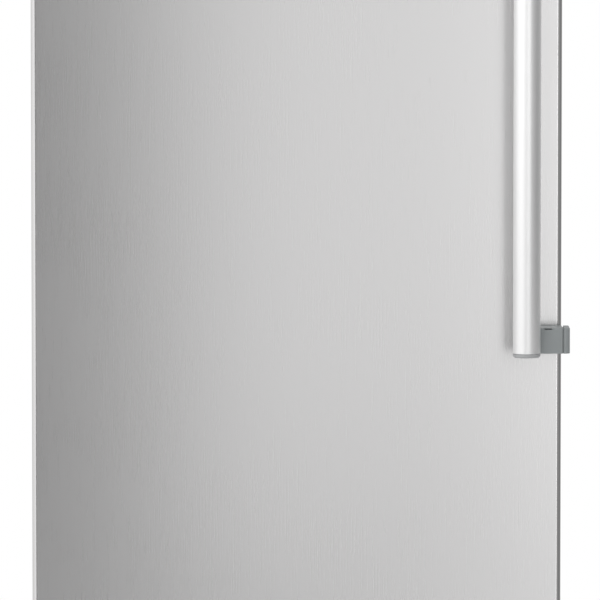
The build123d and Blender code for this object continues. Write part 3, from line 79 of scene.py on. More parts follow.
# ---- Shader nodes ---------------------------------------------------------------------
class Value:
    """One output socket of a shader tree, with Python's operators for its maths."""

    def __init__(self, nodes: "Nodes", socket: bpy.types.NodeSocket | None) -> None:
        """Wrap a socket.

        Args:
            nodes: the tree that the socket belongs to.
            socket: the output socket, or None for a node that has none.
        """
        self.nodes = nodes
        self.socket = socket

    def _maths(self, operation: str, first: Any, second: Any) -> "Value":
        """Return a Math node's result on two values or numbers."""
        return self.nodes.node("ShaderNodeMath", {"operation": operation}, {0: first, 1: second})

    def __add__(self, other: Any) -> "Value":
        """Return self + other."""
        return self._maths("ADD", self, other)

    def __radd__(self, other: Any) -> "Value":
        """Return other + self."""
        return self._maths("ADD", other, self)

    def __sub__(self, other: Any) -> "Value":
        """Return self - other."""
        return self._maths("SUBTRACT", self, other)

    def __rsub__(self, other: Any) -> "Value":
        """Return other - self."""
        return self._maths("SUBTRACT", other, self)

    def __mul__(self, other: Any) -> "Value":
        """Return self * other."""
        return self._maths("MULTIPLY", self, other)

    def __abs__(self) -> "Value":
        """Return the value without its sign."""
        return self.nodes.node("ShaderNodeMath", {"operation": "ABSOLUTE"}, {0: self})

    def steps(self, low: float, high: float, start: float = 0.0, end: float = 1.0) -> "Value":
        """Turn the value into a smooth step.

        Args:
            low: where the step starts.
            high: where it ends.
            start: its value up to low.
            end: its value from high on.

        Returns:
            The stepped value.
        """
        return self.nodes.node("ShaderNodeMapRange", {"interpolation_type": "SMOOTHSTEP"},
                               {0: self, 1: low, 2: high, 3: start, 4: end})


class Nodes:
    """A shader node tree that is filled through one method."""

    def __init__(self, tree: bpy.types.NodeTree) -> None:
        """Empty the tree.

        Args:
            tree: the node tree of a material or a world.
        """
        tree.nodes.clear()
        self.tree = tree

    def node(self, kind: str, settings: dict[str, Any] | None = None,
             inputs: dict[int | str, Any] | None = None, output: int | str = 0) -> Value:
        """Add a node.

        Args:
            kind: the node's type.
            settings: its own settings, set first; "stops" are a ramp's (place, colour) pairs.
            inputs: numbers, colours or values for its sockets, by name or index.
            output: the socket that is returned.

        Returns:
            The wrapped output.
        """
        made = self.tree.nodes.new(kind)
        for name, setting in (settings or {}).items():
            if name == "stops":
                ramp = made.color_ramp.elements
                while len(ramp) < len(setting):
                    ramp.new(1.0)
                for element, (place, colour) in zip(ramp, setting):
                    element.position = place
                    element.color = (*colour, 1.0)
            else:
                setattr(made, name, setting)
        for key, value in (inputs or {}).items():
            if isinstance(value, Value):
                self.tree.links.new(value.socket, made.inputs[key])
            else:
                made.inputs[key].default_value = value
        return Value(self, made.outputs[output] if made.outputs else None)

    def place(self, stretch: Point = (1.0, 1.0, 1.0)) -> Value:
        """Return object coordinates, stretched along the axes."""
        coordinates = self.node("ShaderNodeTexCoord", output="Object")
        return self.node("ShaderNodeMapping", {}, {"Vector": coordinates, "Scale": stretch})

    def part(self, vector: Value, axis: str) -> Value:
        """Return one component of a vector, named X, Y or Z."""
        return self.node("ShaderNodeSeparateXYZ", {}, {0: vector}, output=axis)

    def noise(self, scale: float, detail: float, stretch: Point = (1.0, 1.0, 1.0)) -> Value:
        """Add noise on the object's coordinates.

        Args:
            scale: grains per metre.
            detail: octaves.
            stretch: stretch of the coordinates along X, Y and Z.

        Returns:
            The noise, from 0 to 1.
        """
        return self.node("ShaderNodeTexNoise", {}, {"Vector": self.place(stretch),
                                                    "Scale": scale, "Detail": detail})

    def blend(self, factor: Any, first: Colour, second: Colour) -> Value:
        """Return a colour between two by a factor from 0 to 1."""
        return self.node("ShaderNodeMix", {"data_type": "RGBA"},
                         {0: factor, 6: (*first, 1.0), 7: (*second, 1.0)}, output=2)

    def bump(self, height: Value, depth: float) -> Value:
        """Return a bumped normal; depth is the relief's height in metres."""
        return self.node("ShaderNodeBump", {}, {"Height": height, "Distance": depth,
                                                "Strength": 1.0}, output="Normal")


def shade(colour: Colour, by: float) -> Colour:
    """Return the colour multiplied by a number, kept under 1."""
    return tuple(min(channel * by, 1.0) for channel in colour)


# ---- Finishes -------------------------------------------------------------------------
@dataclass(frozen=True)
class Finish:
    """A surface finish of one colour; each kind of finish adds its own grain."""

    name: str
    slot: str
    colour: Colour
    roughness: float

    def material(self) -> Material:
        """Make this finish's material, once.

        Returns:
            The material.
        """
        found = bpy.data.materials.get(self.name)
        if found is not None:
            return found
        made = bpy.data.materials.new(self.name)
        made.use_nodes = True
        nodes = Nodes(made.node_tree)
        nodes.node("ShaderNodeOutputMaterial", {}, {"Surface": self.shader(nodes)})
        return made

    def shader(self, nodes: Nodes) -> Value:
        """Return the finish's shader; a plain one unless a kind of finish changes it."""
        return self.principled(nodes)

    def principled(self, nodes: Nodes, **sockets: Any) -> Value:
        """Add a Principled shader in this finish's colour and roughness.

        Args:
            nodes: the material's tree.
            sockets: its other sockets, with an underscore for each space in a name.

        Returns:
            The shader.
        """
        inputs: dict[int | str, Any] = {"Base Color": (*self.colour, 1.0),
                                        "Roughness": self.roughness}
        inputs.update({name.replace("_", " "): value for name, value in sockets.items()})
        return nodes.node("ShaderNodeBsdfPrincipled", {}, inputs)

    def tinted(self, nodes: Nodes, mask: Value, contrast: float) -> Value:
        """Return the colour, darker and lighter by a share where the mask is 0 and 1."""
        return nodes.blend(mask, shade(self.colour, 1 - contrast), shade(self.colour, 1 + contrast))

    def roughened(self, mask: Value, spread: float) -> Value:
        """Return the roughness, spread evenly around its value by a mask."""
        return self.roughness - spread / 2 + mask * spread


@dataclass(frozen=True)
class BrushedSteel(Finish):
    """Satin brushed stainless steel, more polished where the sheet is rolled over."""

    brushing: Point = (1.0, 1.0, 0.006)
    lines: float = 2600.0
    line_share: float = 0.7
    line_roughness: float = 0.04
    clouds: float = 5.0
    cloud_roughness: float = 0.02
    contrast: float = 0.01
    depth: float = 0.12e-6
    flat_centre: float = 0.0
    flat_half: float = 10.0
    roll_blend: float = 0.5 * MM
    rolled_polish: float = 0.13

    def shader(self, nodes: Nodes) -> Value:
        """Add fine lines in colour, roughness and relief over faint clouds.

        Args:
            nodes: the material's tree.

        Returns:
            The shader.
        """
        lines = nodes.noise(self.lines, 3.0, self.brushing)
        clouds = nodes.noise(self.clouds, 3.0)
        tone = lines * self.line_share + clouds * (1 - self.line_share)
        off_centre = abs(nodes.part(nodes.place(), "X") - self.flat_centre)
        rolled = off_centre.steps(*around(self.flat_half, 2 * self.roll_blend))
        rough = (self.roughness - (self.line_roughness + self.cloud_roughness) / 2
                 + lines * self.line_roughness + clouds * self.cloud_roughness
                 - rolled * self.rolled_polish)
        return self.principled(nodes, Metallic=1.0, Roughness=rough,
                               Base_Color=self.tinted(nodes, tone, self.contrast),
                               Normal=nodes.bump(lines, self.depth))


@dataclass(frozen=True)
class Metal(Finish):
    """Bare or plated metal with cloudy tarnish."""

    tarnish: Colour
    tarnish_share: float = 0.6
    dulling: float = 0.12
    cloud_edge: Range = (0.35, 0.75)
    patch: float = 90.0
    specks_per_patch: float = 14.0
    speck_roughness: float = 0.05
    speck_depth: float = 6e-6

    def shader(self, nodes: Nodes) -> Value:
        """Add tarnish that clouds the metal's colour and makes it rougher.

        Args:
            nodes: the material's tree.

        Returns:
            The shader.
        """
        clouds = nodes.noise(self.patch, 4.0).steps(*self.cloud_edge)
        specks = nodes.noise(self.patch * self.specks_per_patch, 2.0)
        return self.principled(
            nodes, Metallic=1.0,
            Base_Color=nodes.blend(clouds * self.tarnish_share, self.colour, self.tarnish),
            Roughness=self.roughness + clouds * self.dulling + specks * self.speck_roughness,
            Normal=nodes.bump(specks, self.speck_depth))


@dataclass(frozen=True)
class Paint(Finish):
    """Sprayed or powder paint on sheet, with a fine orange-peel skin."""

    peel: float = 700.0
    depth: float = 4e-6
    peel_roughness: float = 0.06
    clouds: float = 3.0
    contrast: float = 0.015

    def shader(self, nodes: Nodes) -> Value:
        """Add the skin's fine relief and faint clouds to an even colour.

        Args:
            nodes: the material's tree.

        Returns:
            The shader.
        """
        skin = nodes.noise(self.peel, 2.0)
        clouds = nodes.noise(self.clouds, 3.0)
        return self.principled(nodes, Base_Color=self.tinted(nodes, clouds, self.contrast),
                               Roughness=self.roughened(skin, self.peel_roughness),
                               Normal=nodes.bump(skin, self.depth))


@dataclass(frozen=True)
class Moulded(Finish):
    """Moulded plastic or rubber with the mould's fine texture."""

    grains: float = 2400.0
    depth: float = 8e-6
    grain_roughness: float = 0.08
    flow: float = 14.0
    flow_stretch: Point = (1.0, 1.0, 0.4)
    contrast: float = 0.03

    def shader(self, nodes: Nodes) -> Value:
        """Add a fine texture in relief and roughness, and faint flow marks.

        Args:
            nodes: the material's tree.

        Returns:
            The shader.
        """
        texture = nodes.noise(self.grains, 2.0)
        flow = nodes.noise(self.flow, 3.0, self.flow_stretch)
        return self.principled(nodes, Base_Color=self.tinted(nodes, flow, self.contrast),
                               Roughness=self.roughened(texture, self.grain_roughness),
                               Normal=nodes.bump(texture, self.depth))


@dataclass(frozen=True)
class Clear(Finish):
    """Clear plastic or glass that light passes straight through."""

    opacity: float
    frost: float
    frost_roughness: float = 0.05
    frost_shade: float = 0.97
    haze: float = 40.0

    def shader(self, nodes: Nodes) -> Value:
        """Add a thin gloss, with a little more body where it is frosted.

        Args:
            nodes: the material's tree.

        Returns:
            The shader.
        """
        haze = nodes.noise(self.haze, 3.0)
        tone = nodes.blend(haze, shade(self.colour, self.frost_shade), self.colour)
        return self.principled(nodes, Alpha=self.opacity + haze * self.frost, Base_Color=tone,
                               Roughness=self.roughness + haze * self.frost_roughness)


@dataclass(frozen=True)
class Glow(Finish):
    """A lit surface, such as a display segment or a lamp's lens."""

    strength: float
    patch: float = 60.0
    dimmest: float = 0.94

    def shader(self, nodes: Nodes) -> Value:
        """Add the colour as its own light, uneven by a few parts in a hundred.

        Args:
            nodes: the material's tree.

        Returns:
            The shader.
        """
        spread = nodes.noise(self.patch, 2.0)
        glow = nodes.blend(spread, shade(self.colour, self.dimmest), self.colour)
        return self.principled(nodes, Emission_Color=glow, Emission_Strength=self.strength)


@dataclass(frozen=True)
class Circuit(Finish):
    """A circuit board's solder mask over its copper tracks."""

    tracks: float = 500.0
    track_stretch: Point = (0.2, 1.0, 1.0)
    track_edge: Range = (0.54, 0.56)
    track_shade: float = 1.9
    depth: float = 3e-5

    def shader(self, nodes: Nodes) -> Value:
        """Add lighter tracks under a glossy green mask.

        Args:
            nodes: the material's tree.

        Returns:
            The shader.
        """
        tracks = nodes.noise(self.tracks, 0.0, self.track_stretch).steps(*self.track_edge)
        tone = nodes.blend(tracks, self.colour, shade(self.colour, self.track_shade))
        return self.principled(nodes, Base_Color=tone, Normal=nodes.bump(tracks, self.depth))


@dataclass(frozen=True)
class Backdrop(Finish):
    """The studio's pale floor, which fades out around the freezer."""

    fade: Range = (0.95, 2.4)

    def shader(self, nodes: Nodes) -> Value:
        """Add an opacity that falls with the distance from the middle.

        Args:
            nodes: the material's tree.

        Returns:
            The shader.
        """
        place = nodes.node("ShaderNodeTexCoord", output="Object")
        distance = nodes.node("ShaderNodeVectorMath", {"operation": "LENGTH"}, {0: place},
                              output="Value")
        return self.principled(nodes, Alpha=distance.steps(*self.fade, 1.0, 0.0))


class Finishes:
    """Every finish of the freezer and its floor, by what it is."""

    FLOOR = Backdrop("floor_white", "floor_white", (0.78, 0.78, 0.78), 0.7)
    DOOR_STEEL = BrushedSteel("satin_door_steel", "satin_steel", (0.63, 0.625, 0.625), 0.28,
                              flat_centre=-4.25 * MM, flat_half=295 * MM)
    BAR_STEEL = BrushedSteel("satin_bar_steel", "satin_steel", (0.92, 0.92, 0.92), 0.45,
                             depth=0.3e-6)
    SILVER_PAINT = Paint("silver_side_paint", "silver_paint", (0.52, 0.53, 0.54), 0.38)
    REAR_PAINT = Paint("rear_panel_paint", "grey_paint", (0.20, 0.21, 0.22), 0.5)
    BLACK_PAINT = Paint("black_paint", "black_paint", (0.018, 0.018, 0.02), 0.32,
                        peel=420.0, depth=1e-5)
    FOAM = Moulded("cream_foam", "foam", (0.80, 0.72, 0.52), 0.9, grains=260.0, depth=3e-4)
    LINER = Moulded("white_liner", "liner_white", (0.84, 0.85, 0.86), 0.24,
                    grains=900.0, depth=4e-6)
    SEAL = Moulded("grey_seal", "seal_grey", (0.40, 0.41, 0.42), 0.6, grains=1500.0)
    LEVER = Moulded("lever_plastic", "lever_grey", (0.248, 0.266, 0.269), 0.42)
    CAP = Moulded("cap_plastic", "cap_grey", (0.34, 0.345, 0.35), 0.4)
    FASCIA = Moulded("fascia_plastic", "fascia_grey", (0.42, 0.43, 0.44), 0.36)
    WINDOW = Moulded("window_pane", "window_black", (0.012, 0.013, 0.016), 0.06,
                     grains=300.0, depth=1e-6)
    BUTTON = Moulded("button_plastic", "button_grey", (0.26, 0.27, 0.28), 0.42)
    ICON = Moulded("icon_print", "button_grey", (0.80, 0.81, 0.82), 0.5)
    PLINTH = Moulded("plinth_plastic", "plinth_grey", (0.19, 0.195, 0.2), 0.45)
    BLACK_PLASTIC = Moulded("black_plastic", "black_plastic", (0.028, 0.028, 0.03), 0.5)
    RUBBER = Moulded("black_rubber", "rubber_black", (0.022, 0.022, 0.022), 0.75,
                     grains=800.0, depth=2e-5)
    DIGITS = Glow("display_light", "window_black", (0.62, 0.86, 1.0), 0.3, strength=1.6)
    PILOT = Glow("pilot_green", "window_black", (0.10, 0.85, 0.25), 0.3, strength=1.2)
    LAMP = Glow("lamp_lens_light", "lamp_lens", (1.0, 0.98, 0.94), 0.3, strength=1.5)
    BOARD = Circuit("circuit_board", "board_green", (0.02, 0.16, 0.06), 0.3)
    ZINC = Metal("zinc_plate", "zinc_steel", (0.62, 0.62, 0.60), 0.36, (0.40, 0.41, 0.42))
    COPPER = Metal("copper_tube", "copper", (0.80, 0.40, 0.24), 0.26, (0.36, 0.17, 0.10),
                   patch=60.0)
    ALUMINIUM = Metal("fin_sheet", "fin_aluminium", (0.82, 0.83, 0.84), 0.3, (0.6, 0.61, 0.62))
    GLASS = Clear("shelf_glass_clear", "shelf_glass", (0.70, 0.86, 0.80), 0.05,
                  opacity=0.22, frost=0.03)
    DRAWER = Clear("drawer_plastic", "drawer_clear", (0.84, 0.90, 0.94), 0.14,
                   opacity=0.36, frost=0.04)


# ---- Places ---------------------------------------------------------------------------
def corners(node: str) -> tuple[Range, Range, Range]:
    """Return a CAD node's ranges along X, Y and Z."""
    low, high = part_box(node)
    return (low.x, high.x), (low.y, high.y), (low.z, high.z)


def middle(limits: Range) -> float:
    """Return the middle of a range."""
    return (limits[0] + limits[1]) / 2


def middles(x: Range, y: Range, z: Range) -> Point:
    """Return the middle of three ranges."""
    return middle(x), middle(y), middle(z)


def length(limits: Range) -> float:
    """Return the length of a range."""
    return limits[1] - limits[0]


def grow(limits: Range, by: float) -> Range:
    """Return the range with both ends moved outwards."""
    return (limits[0] - by, limits[1] + by)


def around(centre: float, width: float) -> Range:
    """Return the range of a width around a centre."""
    return (centre - width / 2, centre + width / 2)


def lever_front() -> float:
    """Return the y of the levers' front faces, just behind the tube's widest line."""
    return corners("handle_bar")[1][1] + 0.3 * MM


# ---- Tests for faces and edges --------------------------------------------------------
def along(direction: Vector, axis: Vector) -> bool:
    """Tell whether an edge runs along an axis."""
    return abs(direction.dot(axis)) > 0.99


def upright(at: Vector, run: Vector) -> bool:
    """Tell whether an edge runs upright."""
    return along(run, UP)


def to_the_back(at: Vector, run: Vector) -> bool:
    """Tell whether an edge runs from front to back."""
    return abs(run.y) > MOSTLY


def front_uprights(front: float) -> Test:
    """Return the test for the upright edges of a front face."""
    return lambda at, run: along(run, UP) and at.y < front + TINY


def rear_upright(side: float, back: float) -> Test:
    """Return the test for the upright edge at one side of an open back."""
    return lambda at, run: along(run, UP) and at.y > back - TINY and abs(at.x - side) < TINY


def top_rim(top: float) -> Test:
    """Return the test for the level edges of a top face."""
    return lambda at, run: at.z > top - TINY and abs(run.z) < BARELY


def bottom_rim(bottom: float) -> Test:
    """Return the test for the level edges of a bottom face."""
    return lambda at, run: at.z < bottom + TINY and abs(run.z) < BARELY


# ---- Modelling tools ------------------------------------------------------------------
def clear_selection() -> None:
    """Leave edit mode and deselect everything."""
    if bpy.context.object is not None and bpy.context.object.mode != "OBJECT":
        bpy.ops.object.mode_set(mode="OBJECT")
    bpy.ops.object.select_all(action="DESELECT")


def select(*pieces: Object) -> None:
    """Select some pieces alone, and make the first one active.

    Args:
        pieces: the pieces.
    """
    clear_selection()
    for piece in pieces:
        piece.select_set(True)
    bpy.context.view_layer.objects.active = pieces[0]


def settle(piece: Object, name: str) -> Object:
    """Name a new primitive and put its place, turn and size into its mesh.

    Args:
        piece: the primitive.
        name: its name.

    Returns:
        The piece.
    """
    piece.name = name
    select(piece)
    bpy.ops.object.transform_apply(location=True, rotation=True, scale=True)
    return piece


def block(name: str, x: Range, y: Range, z: Range) -> Object:
    """Add a cube that fills three ranges.

    Args:
        name: its name.
        x: its range from left to right.
        y: its range from front to back.
        z: its range upwards.

    Returns:
        The block.
    """
    clear_selection()
    bpy.ops.mesh.primitive_cube_add(size=1, location=middles(x, y, z),
                                    scale=(length(x), length(y), length(z)))
    return settle(bpy.context.object, name)


class Axis(Enum):
    """An axis, with the turns that lay a round primitive along it."""

    Y = (math.pi / 2, 0.0, 0.0)
    Z = (0.0, 0.0, 0.0)


def drum(name: str, centre: Point, radius: float, height: float, axis: Axis = Axis.Z,
         sides: int = 64) -> Object:
    """Add a cylinder.

    Args:
        name: its name.
        centre: its middle.
        radius: its radius.
        height: its length.
        axis: the axis that it lies along.
        sides: faces around it.

    Returns:
        The cylinder.
    """
    clear_selection()
    bpy.ops.mesh.primitive_cylinder_add(vertices=sides, radius=radius, depth=height,
                                        location=centre, rotation=axis.value)
    return settle(bpy.context.object, name)


@contextmanager
def editing(piece: Object) -> Iterator[None]:
    """Open a piece in edit mode, and close it again.

    Args:
        piece: the piece.

    Returns:
        The context, which gives nothing.
    """
    select(piece)
    bpy.ops.object.mode_set(mode="EDIT")
    try:
        yield
    finally:
        bpy.ops.object.mode_set(mode="OBJECT")


def pick_faces(piece: Object, wanted: Test) -> None:
    """Select some faces of a piece in edit mode.

    Args:
        piece: the piece.
        wanted: the test on a face's centre and normal.
    """
    bpy.ops.mesh.select_mode(type="FACE")
    bpy.ops.mesh.select_all(action="DESELECT")
    mesh = bmesh.from_edit_mesh(piece.data)
    for face in mesh.faces:
        if wanted(face.calc_center_median(), face.normal):
            face.select_set(True)
    bmesh.update_edit_mesh(piece.data)


def pick_edges(piece: Object, wanted: Test) -> int:
    """Select some edges of a piece in edit mode.

    Args:
        piece: the piece.
        wanted: the test on an edge's middle and direction.

    Returns:
        How many edges were selected.
    """
    bpy.ops.mesh.select_mode(type="EDGE")
    bpy.ops.mesh.select_all(action="DESELECT")
    mesh = bmesh.from_edit_mesh(piece.data)
    chosen = []
    for edge in mesh.edges:
        start, end = (vertex.co for vertex in edge.verts)
        if wanted((start + end) / 2, (end - start).normalized()):
            chosen.append(edge)
    for edge in chosen:
        edge.select_set(True)
    bmesh.update_edit_mesh(piece.data)
    return len(chosen)


def bevel_edges(piece: Object, wanted: Test, radius: float, segments: int = 6) -> None:
    """Round some edges of a piece.

    Args:
        piece: the piece.
        wanted: the test on an edge's middle and direction.
        radius: the radius.
        segments: faces across the round.
    """
    with editing(piece):
        if pick_edges(piece, wanted):
            bpy.ops.mesh.bevel(offset=radius, segments=segments, affect="EDGES")


def pad(name: str, x: Range, y: Range, z: Range, radius: float, segments: int = 6) -> Object:
    """Add a block whose edges from front to back are rounded.

    Args:
        name: its name.
        x: its range from left to right.
        y: its range from front to back.
        z: its range upwards.
        radius: the radius.
        segments: faces across each round.

    Returns:
        The block.
    """
    piece = block(name, x, y, z)
    bevel_edges(piece, to_the_back, radius, segments)
    return piece


def delete_faces(piece: Object, wanted: Test) -> None:
    """Delete the faces of a piece in edit mode whose centre and normal pass a test."""
    pick_faces(piece, wanted)
    bpy.ops.mesh.delete(type="FACE")


def fold_out(piece: Object, side: float, back: float, by: float) -> None:
    """Fold a strip sideways from one rear edge of an open sheet in edit mode.

    Args:
        piece: the sheet.
        side: the x of the edge.
        back: the y of the edge.
        by: the strip's width, towards +X where it is positive.
    """
    pick_edges(piece, rear_upright(side, back))
    bpy.ops.mesh.extrude_region()
    bpy.ops.transform.translate(value=(by, 0, 0))


def run_modifier(piece: Object, kind: str, **settings: Any) -> None:
    """Add a modifier, and apply it.

    Args:
        piece: the piece.
        kind: the modifier's type.
        settings: its settings.
    """
    modifier = piece.modifiers.new(kind.lower(), kind)
    for name, value in settings.items():
        setattr(modifier, name, value)
    select(piece)
    bpy.ops.object.modifier_apply(modifier=modifier.name)


def thicken(piece: Object, sheet: float) -> None:
    """Give a thin shell its wall, inwards."""
    run_modifier(piece, "SOLIDIFY", thickness=sheet, offset=-1)
    smooth(piece)


def merge(piece: Object) -> None:
    """Merge doubled points, and dissolve the faces and edges that have no size.

    Args:
        piece: the piece.
    """
    with editing(piece):
        bpy.ops.mesh.select_all(action="SELECT")
        bpy.ops.mesh.remove_doubles(threshold=0.5 * TINY)
        bpy.ops.mesh.dissolve_degenerate(threshold=0.5 * TINY)


class Joining(Enum):
    """What a tool does to a piece, by the boolean modifier's own names."""

    CUT = "DIFFERENCE"
    ADD = "UNION"


def combine(piece: Object, joining: Joining, tools: Sequence[Object]) -> None:
    """Cut tools out of a piece or join them to it, and delete them.

    Args:
        piece: the piece that stays.
        joining: what the tools do to it.
        tools: the pieces that are used up.
    """
    for tool in tools:
        run_modifier(piece, "BOOLEAN", operation=joining.value, object=tool, solver="EXACT")
        bpy.data.objects.remove(tool)
    merge(piece)


def carve(piece: Object, *tools: Object) -> None:
    """Cut the tools out of a piece."""
    combine(piece, Joining.CUT, tools)


def fuse(piece: Object, *tools: Object) -> None:
    """Join the tools to a piece as one skin."""
    combine(piece, Joining.ADD, tools)


def soften(piece: Object, width: float, segments: int = 2, angle: float = 40.0) -> None:
    """Round every sharp edge of a piece, and shade it smooth.

    Args:
        piece: the piece.
        width: the round's width.
        segments: faces across it.
        angle: the smallest angle of an edge that is rounded, in degrees.
    """
    run_modifier(piece, "BEVEL", width=width, segments=segments, limit_method="ANGLE",
                 angle_limit=math.radians(angle), harden_normals=False)
    merge(piece)
    smooth(piece)


def smooth(piece: Object, angle: float = 34.0) -> None:
    """Shade a piece smooth, up to an angle between its faces."""
    select(piece)
    bpy.ops.object.shade_smooth_by_angle(angle=math.radians(angle))


def outwards(piece: Object) -> None:
    """Merge doubled points and turn all faces outwards.

    Args:
        piece: the piece.
    """
    merge(piece)
    with editing(piece):
        bpy.ops.mesh.select_all(action="SELECT")
        bpy.ops.mesh.normals_make_consistent(inside=False)


def gather(name: str, pieces: Sequence[Object]) -> Object:
    """Make several separate shells one object.

    Args:
        name: its name.
        pieces: the shells, two or more.

    Returns:
        The object.
    """
    select(*pieces)
    bpy.ops.object.join()
    pieces[0].name = name
    return pieces[0]


def stand(name: str, data: bpy.types.ID, place: Vector, facing: Vector) -> Object:
    """Stand a camera or a light in the scene.

    Args:
        name: its name.
        data: the camera's or the light's data.
        place: where it stands.
        facing: the direction that it faces.

    Returns:
        The camera or the light.
    """
    made = bpy.data.objects.new(name, data)
    bpy.context.scene.collection.objects.link(made)
    made.location = place
    made.rotation_mode = "QUATERNION"
    made.rotation_quaternion = facing.to_track_quat("-Z", "Y")
    return made


def mirrored(piece: Object, name: str, height: float) -> Object:
    """Copy a piece, mirrored about a level plane.

    Args:
        piece: the piece, which stays.
        name: the copy's name.
        height: the plane's z.

    Returns:
        The copy, with its own mesh.
    """
    twin = piece.copy()
    twin.data = piece.data.copy()
    bpy.context.scene.collection.objects.link(twin)
    twin.scale.z = -1
    twin.location.z = 2 * height
    settle(twin, name)
    outwards(twin)
    return twin


def bent_path(points: Sequence[Point], bend: float, steps: int = 8) -> list[Vector]:
    """Bend the corners of a route.

    Args:
        points: the corners of the route.
        bend: the radius of its bends.
        steps: pieces in each bend.

    Returns:
        The points of the bent route.
    """
    route = [Vector(point) for point in points]
    path = [route[0]]
    for before, corner, after in zip(route, route[1:], route[2:]):
        into, out = (corner - before).normalized(), (after - corner).normalized()
        turn = into.angle(out)
        reach = bend * math.tan(turn / 2)
        centre = corner - into * reach + (out - into * math.cos(turn)).normalized() * bend
        start = corner - into * reach - centre
        aside = into * bend
        path += [centre + start * math.cos(turn * i / steps) + aside * math.sin(turn * i / steps)
                 for i in range(steps + 1)]
    return [*path, route[-1]]


def pipe(name: str, points: Sequence[Point], radius: float, bend: float) -> Object:
    """Add a round tube along level or upright runs, with its corners bent.

    Args:
        name: its name.
        points: the corners of its route.
        radius: the tube's radius.
        bend: the radius of its bends.

    Returns:
        The tube.
    """
    path = bent_path(points, bend)
    curve = bpy.data.curves.new(name, "CURVE")
    curve.dimensions = "3D"
    curve.bevel_depth = radius
    curve.bevel_resolution = TUBE_SIDES // 2 - 2
    curve.use_fill_caps = True
    spline = curve.splines.new("POLY")
    spline.points.add(len(path) - 1)
    for knot, place in zip(spline.points, path):
        knot.co = (*place, 1.0)
    made = bpy.data.objects.new(name, curve)
    bpy.context.scene.collection.objects.link(made)
    select(made)
    bpy.ops.object.convert(target="MESH")
    outwards(made)
    smooth(made, 60.0)
    return made


def dress(piece: Object, finish: Finish, body: str, *nodes: str) -> Object:
    """Give a finished piece its finish and its body.

    Args:
        piece: the piece.
        finish: its finish.
        body: the CAD body that it rides on.
        nodes: the CAD nodes that it stands for.

    Returns:
        The piece.
    """
    piece.data.materials.clear()
    piece.data.materials.append(finish.material())
    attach(piece, body)
    if nodes:
        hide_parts(*nodes)
    log.info("%s rides on %s, %d faces", piece.name, body, len(piece.data.polygons))
    return piece


